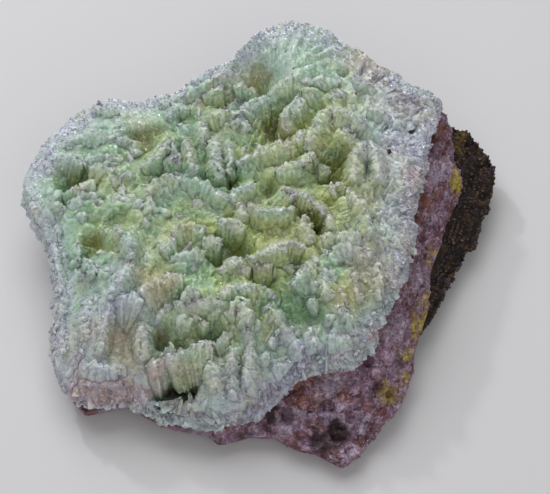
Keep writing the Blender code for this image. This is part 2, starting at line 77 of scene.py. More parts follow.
BASALT_SIDE = (
    (39.4, 21.3, 11), (41.5, 20.8, 10.8), (43.7, 18.7, 10.2), (45.2, 16.3, 9.7), (46.4, 14.2, 9.1),
    (47.2, 11.8, 8.6), (46.6, 8.5, 8.1), (45.8, 4.6, 7.6), (44.8, 1.5, 7.2), (43.6, -0.7, 6.9),
    (43, -3.7, 6.6), (41.8, -7.5, 6.3), (39.8, -8.9, 6.2), (39.2, -11.4, 6), (37.8, -13.8, 5.8),
    (36.2, -15.5, 5.6), (35.1, -17.4, 5.4), (34.7, -20.1, 5.2), (33.5, -23.4, 4.9), (32.2, -26.2, 4.6),
)
# The same lines where the crust hides them: x, y and height themselves
ALTERED_HIDDEN = (
    (-43, -18, 5.5), (-42.5, -6, 5.5), (-45, 5, 5.5), (-47, 14, 5.6), (-43, 22.5, 6), (-35, 27, 7),
    (-23, 29, 8.5), (-11, 34.5, 10), (-3, 40, 12), (8, 41, 14), (18, 38, 15), (28, 34.5, 17),
    (35.5, 33.5, 18),
)
BASALT_HIDDEN = (
    (28, -20, 4), (20, -26, 3), (8, -29, 2.6), (-8, -28, 2), (-22, -25, 1.8), (-32, -19, 1.8),
    (-37, -8, 1.8), (-38, 8, 1.8), (-34, 20, 2), (-24, 26, 3), (-10, 32.5, 4), (4, 37, 6), (16, 35.6, 8),
    (28, 33.4, 9), (37, 33.6, 10),
)
# Broad swells and basins of the crust: x, y, radius and rise
SWELLS = (
    (3, 42, 11, 9.5), (-12, 35, 7, 2), (24, 30, 10, 2.5), (27, 12, 8, 1.2), (-44, 19, 9, 1.5),
    (-34, 25, 9, 2.6), (-3, 35, 5.5, -5.5), (-20, 24, 6, 2), (14, 22, 6, 1.5), (-20, 5, 7, 1.5),
    (-32, -6, 6, 2), (2, 2, 8, 1), (-38, -18, 8, 3), (14, -16, 8, 1.5), (-12, -14, 7, 1.5),
)
# Hollows between the ridges, places on the reading plane: x, y, radius and depth
HOLLOWS = (
    (1.5, 22, 3.6, 6), (-11.5, 8, 3.2, 5), (-10, -10.5, 4.2, 5), (8.5, -1.5, 3.6, 5),
    (12.5, 11, 3.6, 5), (-2.5, -15.5, 2.6, 4), (-12, -31.5, 3.2, 4), (5, -24, 4.5, 3),
    (-42, 8, 4.2, 4.5), (-28.5, 19, 3.2, 3.5), (-21, 12.5, 3, 3.5), (-37.5, -8, 2.6, 3.5),
    (-21.5, -21, 2.8, 4), (-31.5, -30, 3.4, 3.2), (-19.5, -34, 2.4, 4), (-10, 29.5, 3, 3.5),
    (19.8, -3, 2, 4), (-15, 31, 2.5, 1.5), (-20.4, -40.6, 3.8, 9), (-17, -40.6, 2, 5), (-22.8, -30.5, 1.6, 4.5), (-5, 36, 4.5, 2.5),
    (3.6, -12.8, 1.8, 2.5), (15, 37, 1.2, 2), (29, 22, 1.2, 1.6), (-1, 5, 1.6, 2.5),
)


def hashed(i, j, k, seed):
    """A random number from 0 to 1 for each triple of whole numbers, from mixed multiples of them."""
    mixed = (i * 73856093) ^ (j * 19349663) ^ (k * 83492791) ^ (seed * 40503 + 977)
    mixed = ((mixed ^ (mixed >> 13)) * 1274126177) & 0xFFFFFFFF
    mixed = ((mixed ^ (mixed >> 15)) * 668265263) & 0xFFFFFFFF
    return (mixed ^ (mixed >> 16)) / 4294967295.0


def noise(x, y, z, size, seed=0):
    """Smooth noise from -1 to 1: random values at the corners of cubes of that size, blended between."""
    place = np.stack(np.broadcast_arrays(x, y, z)) / size + 1000.0
    cell = np.floor(place).astype(np.int64)
    part = place - cell
    part = part**3 * (part * (part * 6 - 15) + 10)
    total = 0.0
    for corner in np.ndindex(2, 2, 2):
        step = np.reshape(corner, (3,) + (1,) * (place.ndim - 1))
        total = total + np.prod(np.where(step, part, 1 - part), axis=0) * hashed(*(cell + step), seed)
    return 2 * total - 1


def chips(x, y, z, size, seed=0):
    """Broken relief from about -1 to 1: in each random cell a flat facet with its own slant and level."""
    place = np.stack(np.broadcast_arrays(x, y, z)) / size + 1000.0
    cell = np.floor(place).astype(np.int64)
    nearest = np.full(place.shape[1:], np.inf)
    level = np.zeros(place.shape[1:])
    for corner in np.ndindex(3, 3, 3):
        here = cell + np.reshape(corner, (3,) + (1,) * (place.ndim - 1)) - 1
        away = place - here - np.stack([hashed(*here, seed + n) for n in (1, 2, 3)])
        slant = np.stack([hashed(*here, seed + n) - 0.5 for n in (4, 5, 6)])
        distance = (away**2).sum(axis=0)
        facet = 1.8 * (away * slant).sum(axis=0) + 1.1 * (hashed(*here, seed + 7) - 0.5)
        level = np.where(distance < nearest, facet, level)
        nearest = np.minimum(nearest, distance)
    return level


def ramp(low, high, value):
    """0 below low, 1 above high, and smooth between."""
    share = np.clip((value - low) / (high - low), 0, 1)
    return share * share * (3 - 2 * share)


def blobs(x, y, spots, power=2):
    """The sum of round bumps, each given by its middle, radius and height."""
    return sum(h * np.exp(-((np.hypot(x - a, y - b) / r) ** power)) for a, b, r, h in spots)


def sighted(x, y, z):
    """The point at height z that is seen, from EYE, at (x, y) of the reading plane."""
    share = (EYE[2] - z) / (EYE[2] - READING_HEIGHT)
    return EYE[0] + (x - EYE[0]) * share, EYE[1] + (y - EYE[1]) * share


def seen(x, y, z):
    """Where a point of the specimen is seen on the reading plane: sighted() turned round."""
    share = (EYE[2] - READING_HEIGHT) / (EYE[2] - z)
    return EYE[0] + (x - EYE[0]) * share, EYE[1] + (y - EYE[1]) * share


def outline(readings, hidden=()):
    """An outline as angle, radius and height around HEART, over more than one turn."""
    x, y, z = np.array(readings, float).T
    x, y = sighted(x, y, z)
    x, y, z = np.concatenate([np.stack([x, y, z]), np.reshape(hidden, (-1, 3)).T], axis=1)
    angle = np.arctan2(y - HEART[1], x - HEART[0])
    order = np.argsort(angle)
    angle, radius, z = angle[order], np.hypot(x - HEART[0], y - HEART[1])[order], z[order]
    return np.concatenate([angle - 2 * math.pi, angle, angle + 2 * math.pi]), np.tile(radius, 3), np.tile(z, 3)


CRUST_EDGE = outline(CRUST_RIM)
ALTERED_EDGE = outline(ALTERED_WALL, ALTERED_HIDDEN)
BASALT_EDGE = outline(BASALT_SIDE, BASALT_HIDDEN)


def reach(edge, angle):
    """Radius and height of an outline in each direction."""
    return np.interp(angle, edge[0], edge[1]), np.interp(angle, edge[0], edge[2])


def seam_height(x, y):
    """Top of the altered rock: it climbs to the right."""
    return 13 + 0.2 * x + 0.0015 * x * x + 0.08 * y


def basalt_height(x, y):
    """Top of the basalt: a plane that climbs to the back right."""
    return np.maximum(3.0, 5.5 + 0.1 * x + 0.11 * y)


def seam_share(angle):
    """The crust's radius at the seam, as a share of its rim."""
    return 0.93 + 0.07 * np.maximum(0.0, np.cos(angle + 0.35)) ** 0.5


def field(x, y):
    """The crystal field without ridges or hollows: level inside, rolling over to the rim."""
    radius, rim = reach(CRUST_EDGE, np.arctan2(y - HEART[1], x - HEART[0]))
    share = np.minimum(1.0, np.hypot(x - HEART[0], y - HEART[1]) / radius)
    start = 0.55 + 0.2 * ramp(20.5, 23.5, rim)
    fall = np.maximum(0.0, (share - start) / (1 - start)) ** 1.5
    return (23 + blobs(x, y, SWELLS)) * (1 - fall) + rim * fall + 0.6 * noise(x, y, 0, 7)


def seat(x, y, rise):
    """The points that stand rise above the field and are seen at (x, y) of the reading plane."""
    z = np.full(np.shape(x), READING_HEIGHT)
    for _ in range(14):
        z = 0.5 * (z + field(*sighted(x, y, z)) + rise)
    return np.stack([*sighted(x, y, z), z], axis=-1)


hollow_x, hollow_y, hollow_radius, hollow_depth = np.array(HOLLOWS, float).T
POCKETS = np.column_stack([seat(hollow_x, hollow_y, 0)[:, :2], hollow_radius, hollow_depth])


def around_heart(angle, radius):
    return HEART[0] + radius * np.cos(angle), HEART[1] + radius * np.sin(angle)


# Where the crust is chalky white, and where it is yellow-green: x, y, radius and strength
WHITE_SPOTS = (
    (27, 14, 8, 0.9), (26, 26, 8, 0.8), (25, 0, 6.5, 0.8), (23, -11, 5.5, 0.5), (14, -9, 5, 0.55),
    (-35, -24, 7, 0.9), (-37, -38, 8, 0.9), (-27, -24, 6, 0.5), (-31, -14, 4.5, 0.6), (-24, -38, 6, 0.6),
    (-3, -42, 8, 0.75), (4, -33, 6, 0.6), (-11, -40, 5, 0.6), (-42, 24, 6, 0.5), (-49, 14, 4.5, 0.5),
    (20, 38, 7, 0.6), (-12, 40, 5, 0.6), (-31, 27, 6, 0.5), (14, -28, 5, 0.4), (2, 45, 8, 0.45),
)
WARM_SPOTS = (
    (10, 18, 9, 0.9), (8, -4, 9, 1.0), (16, 5, 7, 0.9), (-4, -10, 9, 0.7), (-2, 8, 8, 0.45), (0, 22, 6, 0.5),
    (-24, -17, 5, 0.9), (-27, 8, 5, 0.3), (-19, -3, 5, 0.6), (-33, -4, 5, 0.4), (-12, 30, 5, 0.6),
    (-2, 34, 5, 0.5), (-27, 20, 4, 0.5), (14, -20, 6, 0.6), (20, 40, 5, 0.9), (-37, -8, 4, 0.5),
    (-40, 8, 4, 0.5), (27, 12, 9, 0.2), (25, -6, 8, 0.35), (27, 26, 7, 0.1), (12, 30, 8, 0.4), (-14, 16, 9, 0.35),
    (-30, 8, 8, 0.25), (-10, -20, 9, 0.5), (-12, -4, 7, 0.4), (-22, -38, 10, 0.5), (-35, -32, 8, 0.45), (-6, -40, 8, 0.4),
)


# Tan, peach and olive-brown stains on the crust, as seen on the reading plane: x, y, radius and strength
TAN_SPOTS = (
    (-31.5, -30, 3.6, 0.8), (-23, -30, 1.8, 1), (-25.5, -17.6, 3.4, 0.55), (-21, -15.6, 3, 0.55),
    (-18.6, -3, 2.2, 0.75), (29.6, 9.4, 1.8, 0.9), (-3, 36, 4, 0.8), (1.5, 21, 3.2, 0.5), (21, 42.5, 3.2, 0.7),
    (-29, -36, 3, 0.6), (-17.5, -38.6, 2.8, 0.6), (-38.6, -7.4, 2.2, 0.6), (-28.6, 19.4, 2.6, 0.5),
    (14, 14.6, 2.4, 0.45), (-15.5, 29, 2, 0.5), (-42, 7, 2.6, 0.45), (-34, -41.5, 3, 0.5), (-3, 9, 1.6, 0.3),
    (9, -13.5, 2, 0.3), (22, -17, 2.5, 0.3), (19, -14, 6, 0.5), (17, -22, 5, 0.5), (0, -30, 6, 0.25),
    (27, 12, 6, 0.25), (26, 1, 5, 0.25), (-12, 29.6, 1.6, 0.4), (-40, -39, 2.5, 0.4),
)


# Painted shade in small holes: near-black colour where the holes lie in shadow, as seen on the reading plane: x, y,
# radius and strength
HOLE_SHADE = (
    (-20.4, -40.4, 3.6, 1.2), (-17, -40.6, 2.2, 1), (-23.2, -30, 1.1, 0.9), (-22, -35, 1.5, 0.7),
    (20.6, -3, 1.1, 0.9), (15, 37, 0.9, 0.6), (-29.6, -40, 1, 0.6), (21.3, -8.4, 0.7, 0.6),
    (16.1, -10.7, 0.7, 0.6), (28.6, 22, 1, 0.5), (30, 8.6, 1.3, 0.5), (-13.5, -20.6, 1.2, 0.5),
    (-20.6, -18.8, 1, 0.5), (-11, -9, 1, 0.4), (1.6, 19.4, 1.2, 0.5), (-11, 27, 1.2, 0.4), (2.6, -37.6, 1, 0.4),
)

# Pink and brick-red grains of the altered rock, mixed in where the crust meets it: x, y, radius and strength
ROSE_SPOTS = (
    (-38, -42, 3, 0.9), (-34, -43, 3, 1), (-30, -42.5, 2.6, 1), (-26.5, -43, 2.2, 0.8), (-22.6, -42, 2.4, 0.8),
    (-24, -38.6, 1.8, 0.5), (-21, -36, 2.2, 0.4), (29.4, 9.6, 2.2, 0.9), (31.6, 13.6, 1.6, 0.6),
    (27.6, -10, 1.4, 0.5), (19.6, -29.6, 2.2, 0.6), (12, -34.6, 2.4, 0.7), (6, -36, 2, 0.6), (24.6, -18, 1.6, 0.5),
    (-11, -48, 2.4, 0.6), (-3, -45, 1.8, 0.5),
)


def crystal_values(points, frost, hollow):
    """Vertex values that the prehnite's colour is mixed from: frost on crests, the olive of the hollows with painted
    shade in them, warm, white, tan, and painted shade in small holes.
    """
    x, y, z = np.reshape(points, (-1, 3)).T
    away = np.hypot(x - HEART[0], y - HEART[1])
    angle = np.arctan2(y - HEART[1], x - HEART[0])
    radius = reach(CRUST_EDGE, angle)[0]
    rim = ramp(0.87, 0.99, away / radius) * (0.6 + 0.4 * ramp(-0.3, 0.6, np.cos(angle - 2.5)))
    blur = 0.35 * noise(x, y, z, 6, 3) + 0.2 * noise(x, y, z, 2, 4)
    # painted shade: the hollow value grows in the pockets, on top of the olive colour of the hollows
    depth = hollow + blobs(x, y, POCKETS) / 5 + 0.15 * noise(x, y, z, 4, 2)
    seen_x, seen_y = seen(x, y, z)
    return {
        "frost": np.clip(frost, 0, 1),
        "hollow": np.clip(depth, 0, 1),
        "warm": np.clip(blobs(seen_x, seen_y, WARM_SPOTS) + blur, 0, 1),
        "tan": np.clip(blobs(seen_x, seen_y, TAN_SPOTS) + 0.5 * blur, 0, 1),
        # painted shade in small holes, only where the point lies well below the field
        "hole_shade": np.clip(blobs(seen_x + 2 * blur, seen_y, HOLE_SHADE), 0, 1) * ramp(0.4, 2.4, field(x, y) - z),
        "rose": np.clip(blobs(seen_x + 2 * blur, seen_y, ROSE_SPOTS) + 0.7 * blur, 0, 1),
        "white": np.clip(blobs(seen_x, seen_y, WHITE_SPOTS) + 0.8 * rim + 0.6 * blur, 0, 1),
    }


def piece(name, points, faces, material, values=None, smooth=True):
    """A mesh of the specimen from points in millimetres. Its faces are turned outwards by the sign of its
    volume, the sum of a . (b x c) / 6 over its triangles."""
    points = (np.reshape(points, (-1, 3)) - CENTRE) * MM
    mesh = bpy.data.meshes.new(name)
    mesh.from_pydata(points.tolist(), [], faces)
    mesh.calc_loop_triangles()
    corner = np.empty(3 * len(mesh.loop_triangles), np.int32)
    mesh.loop_triangles.foreach_get("vertices", corner)
    first, second, third = points[corner.reshape(-1, 3).T]
    if (first * np.cross(second, third)).sum() < 0:
        mesh.flip_normals()
    mesh.materials.append(material)
    mesh.polygons.foreach_set("use_smooth", np.full(len(mesh.polygons), smooth))
    for key, value in (values or {}).items():
        mesh.attributes.new(key, "FLOAT", "POINT").data.foreach_set("value", np.asarray(value, np.float32).ravel())
    mesh.validate()
    made = bpy.data.objects.new(name, mesh)
    bpy.context.scene.collection.objects.link(made)
    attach(made, "root")
    return made


def tube(rows, columns, capped=True):
    """Faces of a closed surface from a grid whose columns run round it, with a point at each end."""
    row, column = np.meshgrid(np.arange(rows - 1), np.arange(columns), indexing="ij")
    beside = (column + 1) % columns
    quads = np.stack([row * columns + column, row * columns + beside,
                      (row + 1) * columns + beside, (row + 1) * columns + column], axis=-1).reshape(-1, 4)
    if not capped:
        return quads.tolist()
    ring = np.arange(columns)
    after = (ring + 1) % columns
    last = (rows - 1) * columns
    start = np.stack([np.full(columns, rows * columns), after, ring], axis=-1)
    end = np.stack([np.full(columns, rows * columns + 1), last + ring, last + after], axis=-1)
    return quads.tolist() + start.tolist() + end.tolist()


def capped(grid):
    """The grid's points and, after them, the middle of its first row and of its last."""
    return np.concatenate([grid.reshape(-1, 3), grid[:1].mean(axis=1), grid[-1:].mean(axis=1)])


def add(tree, kind, values=(), **settings):
    """A shader node with its settings, and its inputs set to numbers or joined to sockets."""
    made = tree.nodes.new("ShaderNode" + kind)
    for key, value in settings.items():
        setattr(made, key, value)
    for key, value in dict(values).items():
        if isinstance(value, bpy.types.NodeSocket):
            tree.links.new(value, made.inputs[key])
        else:
            made.inputs[key].default_value = value
    return made


def blend(tree, share, first, second, kind="MIX"):
    """The colour between two colours."""
    made = add(tree, "Mix", {0: share, 6: first, 7: second}, data_type="RGBA", blend_type=kind)
    return made.outputs[2]


def maths(tree, operation, *values):
    made = add(tree, "Math", dict(enumerate(values)), operation=operation)
    return made.outputs[0]


def shifted(tree, value, low, high, to_low=0.0, to_high=1.0):
    made = add(tree, "MapRange", {0: value, 1: low, 2: high, 3: to_low, 4: to_high})
    return made.outputs[0]


def new_material(name):
    made = bpy.data.materials.new(name)
    made.use_nodes = True
    return made, made.node_tree, made.node_tree.nodes["Principled BSDF"]


# Prehnite
# Pale green, translucent crystal with glassy faces. Crests are frosted white with a breath of lavender,
# flanks are clear green, the floors of the hollows are olive deepened with painted shade, and small
# holes are painted dark as shade.


def prehnite_material(name, subsurface, frost_and_fill_light):
    """Subsurface is the share of light that goes through the crystal. The last argument whitens all of it: frost, and
    for the druse also painted light that lightens the shaded sides of its tiny blocks.
    """
    made, tree, shader = new_material(name)
    place = add(tree, "TexCoord").outputs["Object"]
    value = {k: add(tree, "Attribute", attribute_name=k).outputs["Fac"] for k in ("frost", "hollow", "warm", "white", "tan", "hole_shade", "rose")}
    cloud = add(tree, "TexNoise", {"Vector": place, "Scale": 260, "Detail": 3}).outputs["Fac"]
    grain = add(tree, "TexNoise", {"Vector": place, "Scale": 2100, "Detail": 2, "Roughness": 0.7}).outputs["Fac"]
    cells = add(tree, "TexVoronoi", {"Vector": place, "Scale": 1900})
    shade = add(tree, "SeparateColor", {"Color": cells.outputs["Color"]}).outputs["Red"]
    along = add(tree, "Mapping", {"Vector": place, "Scale": (1, 1, 0.14)}).outputs["Vector"]
    streak = add(tree, "TexNoise", {"Vector": along, "Scale": 1500, "Detail": 3}).outputs["Fac"]
    warm = maths(tree, "ADD", value["warm"], shifted(tree, cloud, 0.3, 0.7, -0.25, 0.25))
    green = blend(tree, warm, (0.39, 0.59, 0.44, 1), (0.52, 0.62, 0.24, 1))
    deep = blend(tree, warm, (0.15, 0.29, 0.13, 1), (0.25, 0.29, 0.035, 1))
    cool = blend(tree, value["white"], (0.53, 0.63, 0.60, 1), (0.56, 0.59, 0.69, 1))
    white = blend(tree, warm, cool, (0.60, 0.615, 0.55, 1))
    # olive of the hollows, deepened as painted shade where the hollow value is high
    inner = blend(tree, shifted(tree, value["hollow"], 0.05, 1.0), green, deep)
    inner = blend(tree, shifted(tree, value["tan"], 0.1, 1.0, 0.0, 0.75), inner, (0.36, 0.28, 0.14, 1))
    white = blend(tree, shifted(tree, value["tan"], 0.1, 1.0, 0.0, 0.5), white, (0.60, 0.50, 0.36, 1))
    haze = maths(tree, "MULTIPLY", value["white"], shifted(tree, streak, 0.3, 0.7, 0.5, 1.0))
    body = blend(tree, haze, inner, white)
    frost = maths(tree, "MULTIPLY", value["frost"], shifted(tree, grain, 0.3, 0.6, 0.35, 1.1))
    frost = maths(tree, "ADD", frost, shifted(tree, shade, 0.72, 1.0, frost_and_fill_light, frost_and_fill_light + 0.35))
    colour = blend(tree, frost, body, white)
    rosy = blend(tree, shifted(tree, cloud, 0.4, 0.6), (0.46, 0.29, 0.26, 1), (0.58, 0.50, 0.54, 1))
    rosy = blend(tree, shifted(tree, shade, 0.6, 0.9, 0.0, 0.8), rosy, (0.62, 0.56, 0.58, 1))
    colour = blend(tree, shifted(tree, value["rose"], 0.25, 0.75, 0.0, 0.8), colour, rosy)
    speckle = shifted(tree, shade, 0.0, 1.0, 0.82, 1.14)
    grey = add(tree, "CombineColor", {0: speckle, 1: speckle, 2: speckle}).outputs[0]
    colour = blend(tree, 1.0, colour, grey, "MULTIPLY")
    # painted shade: near black in the small holes
    colour = blend(tree, shifted(tree, value["hole_shade"], 0.2, 0.9), colour, (0.025, 0.018, 0.008, 1))
    inside = add(tree, "VectorMath", {0: place, 1: cells.outputs["Position"]}, operation="SUBTRACT").outputs[0]
    tilt = add(tree, "VectorMath", {0: cells.outputs["Color"], 1: (0.5, 0.5, 0.5)}, operation="SUBTRACT").outputs[0]
    facet = add(tree, "VectorMath", {0: inside, 1: tilt}, operation="DOT_PRODUCT").outputs["Value"]
    bumps = maths(tree, "ADD", maths(tree, "MULTIPLY", streak, 0.0002), maths(tree, "MULTIPLY", grain, 0.0001))
    bumps = maths(tree, "ADD", bumps, maths(tree, "MULTIPLY", facet, 1.1))
    bump = add(tree, "Bump", {"Height": bumps, "Strength": 0.62, "Distance": 1.0})
    tree.links.new(colour, shader.inputs["Base Color"])
    tree.links.new(bump.outputs["Normal"], shader.inputs["Normal"])
    tree.links.new(shifted(tree, shade, 0.2, 1.0, 0.48, 0.1), shader.inputs["Roughness"])
    shader.inputs["IOR"].default_value = 1.62
    shader.inputs["Subsurface Weight"].default_value = subsurface
    shader.inputs["Subsurface Radius"].default_value = (0.8, 1.0, 0.6)
    shader.inputs["Subsurface Scale"].default_value = 0.0028
    return made


prehnite = prehnite_material("prehnite", 0.8, 0.0)

# Body of the crust
# The crystal field under and between the ridges, its rolled and sugary rim, and its side down to the
# seam with the altered rock. All of it grew as one crust. Its right side breaks across radiating fibres.

# Places with few or no blades, where the crust is massive and pale: x, y, radius and strength
SMOOTH = ((28, 14, 9, 1), (27, 27, 8, 1), (26, 0, 6, 1), (24, -12, 5, 1), (6, 45, 9, 1), (-48, 16, 5, 1),
          (-4, 40, 7, 1), (-33, -30, 6, 0.8), (-37, -40, 6, 1), (-15, -46, 6, 0.8), (12, -31, 5, 0.6),
          (-31, 27, 5, 1), (-44, 23, 6, 1), (-14, 37, 5, 1), (20, 38, 6, 1))
# Where the fibres radiate from, and how far they show: x, y, radius, strength
FANS = ((20, 19, 15, 1.0), (21, 3, 11, 1.0), (0, 34, 20, 0.75), (-4, -30, 14, 0.7), (-33, -22, 12, 0.6))

# Crests on the reading plane, each with its rise over the field
RIDGES = (
    # Mint tablets of the left lobe
    (1.8, (-45, 18), (-40, 20.5), (-35, 21), (-31, 19.5)),
    (1.8, (-41, 15), (-36.5, 16.5), (-32.5, 15.5)),
    (1.8, (-47.5, 13.5), (-44, 14.5), (-41, 13)),
    (2.4, (-39.5, 12), (-36, 11), (-33, 12)),
    (3.2, (-35, 9.5), (-31, 10.5), (-27.5, 10)),
    (1.6, (-47, 3), (-44, 2)),
    (1.8, (-43, 0.5), (-39.5, 2.5), (-36.5, 0.5)),
    (3.0, (-34.5, 2.5), (-31, 3), (-28, 0.5)),
    (4.4, (-29, 12.5), (-26, 16.5), (-23.8, 20.5)),
    # Ridge with the dark pocket behind it
    (5.6, (-27, 6.5), (-24, 9.5), (-20, 9.2)),
    (5.6, (-20, 9.2), (-16, 9), (-13, 6.5), (-9.8, 5)),
    (4.2, (-27, 5), (-25.8, 1)),
    (3.4, (-24, 14.5), (-19.5, 15)),
    (4.6, (-22, 20.5), (-21, 14.5)),
    (5.2, (-19, 20), (-18, 15), (-16.8, 11.5)),
    (5.2, (-16.2, 25), (-15, 18.5)),
    (6.0, (-12.6, 21), (-12.2, 14), (-11.6, 9.5)),
    (5.0, (-10.2, 19.5), (-9.4, 11)),
    (4.0, (-24.5, 26), (-22, 29.5), (-18.5, 29.5)),
    (2.4, (-25.5, 30), (-20, 32), (-16, 35.5), (-11.5, 39)),
    (3.0, (-16, 32), (-11.5, 34)),
    # Sugary ridges of the middle back
    (4.8, (-15, 25.5), (-11.5, 27.2), (-7, 27)),
    (4.8, (-10, 24), (-7.4, 24.8), (-6, 22)),
    (5.6, (-7, 27), (-4.5, 29.8), (-1, 31)),
    (5.2, (-1, 31), (1.2, 33.5), (4, 36.2)),
    (5.8, (3.2, 22.5), (3.6, 26.5), (6.5, 31)),
    (5.0, (6.5, 31), (8.6, 33.5)),
    # Great blade of the middle right and its yellow-green flank
    (6.6, (12, 28), (9.4, 23), (7.4, 17.5)),
    (6.0, (12, 28), (16, 27), (20, 24.5)),
    (4.4, (14, 22), (17, 20)),
    (5.6, (5.5, 13.5), (6.2, 16), (8.2, 17)),
    (5.4, (4.2, 18.5), (6, 22.5)),
    (5.6, (-7.4, 13), (-4.5, 15.5), (-1, 17.4), (3.5, 18.4)),
    (5.4, (0, 12), (3, 12.5), (5.5, 13.5)),
    (5.0, (1.6, 7.2), (2.6, 4)),
    # Tall lozenge blade
    (6.2, (17, 8.5), (16.8, 15), (19.6, 19.4)),
    (6.0, (19.6, 19.4), (22.2, 15.5), (22, 9)),
    # Diagonal ridges and curved blades right of the middle
    (6.0, (2.5, 8), (6, 7), (9.5, 4.6), (11.6, 1.5)),
    (5.6, (11.2, 7), (13.4, 8.4), (15.4, 7.4)),
    (6.0, (14.5, 5), (17, 3.6), (18.6, -1.5), (19, -5)),
    (4.6, (12.5, 0.5), (13, -3.5)),
    (5.4, (-5.2, 2.4), (-1.2, 2), (3.8, 3)),
    (5.6, (-9.8, 4.6), (-7.8, 7), (-5, 9)),
    (4.4, (-7.4, 3), (-6.8, -1)),
    (4.6, (-12, -1.2), (-9.4, -1.4), (-6, -3.4)),
    (4.4, (5.4, -0.5), (7.4, -6.5)),
    # Peach-flecked lobe and its neighbours
    (5.4, (-21.5, -4.5), (-18.5, -2.4), (-14.5, -3.6)),
    (4.6, (-24.5, -7.5), (-21.5, -5)),
    (4.8, (-15, -5.5), (-11, -6)),
    (5.0, (-21, -11.4), (-17.4, -9.6), (-14.6, -9.4)),
    # Bright tablet in the middle front
    (6.0, (-6, -9.6), (-1, -7.6), (3, -5.8), (6.4, -7.6)),
    (4.2, (-4.6, -12), (-0.5, -12.2)),
    (3.8, (-11, -14), (-9, -11.6), (-6.2, -11.4)),
    (5.0, (-12, -18), (-8, -16.6), (-3.4, -17)),
    (5.6, (-19.4, -19.4), (-17, -17.2), (-15, -17.6)),
    (4.6, (-20.4, -22), (-15, -21), (-10.6, -21.6)),
    (5.0, (-10, -24), (-6.8, -20.6), (-5.8, -27)),
    (5.0, (-5.8, -27), (-4.6, -34), (-6, -41)),
    (5.2, (9.4, -10.6), (6.8, -13.6), (4.8, -17.6)),
    # White broken blades towards the right
    (4.2, (9.8, -6), (13, -4.8), (18.5, -6)),
    (4.0, (11, -9.6), (15, -8.6), (20, -9.6)),
    (3.6, (10, -14), (12, -20)),
    (3.4, (15, -13), (16.4, -21)),
    (3.2, (20, -12), (20.6, -20)),
    (3.4, (12.8, -22), (15.2, -25), (16, -28.5)),
    (3.0, (10.6, -30), (14, -30.6), (18, -27.5)),
    (3.0, (0, -23), (3, -29), (6, -33.5)),
    (3.0, (7, -27), (9, -32)),
    (2.6, (-1, -36), (3.4, -34.6)),
    # Long white ridge of the front left
    (5.4, (-33, -2.6), (-30.2, -6), (-29.6, -10.4)),
    (5.4, (-29.6, -10.4), (-31.6, -15), (-34.2, -20)),
    (4.6, (-34.2, -20), (-35.4, -26), (-36, -33)),
    (4.6, (-33, -20), (-29.6, -20.2), (-27.2, -22.5)),
    (5.4, (-27.4, -19), (-24, -16.4), (-19, -15.2)),
    (3.4, (-40.5, -15), (-37, -13.6), (-33.6, -14.6)),
    (2.4, (-45, -7), (-43.6, -13), (-42.8, -19)),
    (2.2, (-42.8, -19), (-43.2, -26), (-42.4, -33)),
    (3.6, (-41.4, -7), (-40.8, -12)),
    (3.8, (-38, -10.5), (-36, -14)),
    (3.0, (-39, -22), (-38.6, -30)),
    (3.8, (-38, -35), (-33.4, -36), (-30, -34.6)),
    (3.4, (-38, -39), (-33, -39.2), (-28.6, -38)),
    (4.4, (-27, -26), (-26.4, -31), (-26.6, -35)),
    (3.8, (-25.6, -36.6), (-22.4, -34.4), (-20.4, -32)),
    (5.2, (-21.4, -36), (-17, -33), (-12.4, -32)),
    (4.6, (-12.6, -34), (-11, -41)),
    (4.4, (-8.6, -32), (-8.4, -43)),
    (1.0, (-24, -44.4), (-19, -45.6), (-13.4, -44)),
    (0.8, (-20, -47), (-11, -48.6)),
    # Sugary flat in front of the broken dome at the back
    (1.8, (4.6, 37.4), (9.4, 36.6), (14, 37)),
    (2.8, (11.6, 31.4), (16, 33.4)),
    (2.6, (17, 37), (22, 33)),
    # Fibrous fan of the right side, its crystals running out to the edge
    (1.0, (24.6, 36.8), (30, 32.6), (34.4, 29.4)),
    (2.2, (20.4, 28.6), (25, 27.4), (28.6, 24)),
    (1.2, (26, 31), (31.6, 27.6)),
    (1.0, (30, 27), (32.6, 20)),
    (1.6, (22, 22), (28, 19.4)),
    (1.2, (24, 17), (30, 16)),
    (1.2, (24.4, 12), (27.6, 8)),
    (1.8, (21.6, 5.4), (27, 4.6)),
    (1.6, (21.6, 1), (27.4, -1.6)),
    (1.8, (21, -6), (26.4, -7)),
    (1.6, (21.4, -10), (24.6, -15)),
    (1.4, (20.6, -22), (20, -28)),
)


def drawn_up(x, y):
    """How far the crust rises towards the crests: a share of their rise, that fades away from their line."""
    total = 0.0
    for rise, *line in RIDGES:
        crest = seat(*np.array(line, float).T, rise)[:, :2]
        near = np.inf
        for a, b in zip(crest[:-1], crest[1:]):
            share = np.clip(((x - a[0]) * (b - a)[0] + (y - a[1]) * (b - a)[1]) / ((b - a) @ (b - a)), 0, 1)
            near = np.minimum(near, np.hypot(x - a[0] - share * (b - a)[0], y - a[1] - share * (b - a)[1]))
        total = np.maximum(total, 0.62 * rise * np.exp(-((near / 2.7) ** 1.4)))
    return total


def fibres(x, y, z):
    """Relief of fibres that radiate from the middle of each fan, as ridged noise over the angle."""
    total = 0.0
    for a, b, radius, strength in FANS:
        away = np.hypot(x - a, y - b)
        turn = np.arctan2(y - b, x - a)
        ridged = 1 - np.abs(noise(turn * 9, away * 0.16, z * 0.05, 1, 11)) * 2
        fine = noise(turn * 26, away * 0.3, z * 0.1, 1, 12)
        shown = ramp(0.12, 0.4, away / radius) * (1 - ramp(0.7, 1.0, away / radius))
        total = total + strength * shown * (0.8 * ridged + 0.4 * fine)
    return total


def rim_height(x, y):
    return reach(CRUST_EDGE, np.arctan2(y - HEART[1], x - HEART[0]))[1]


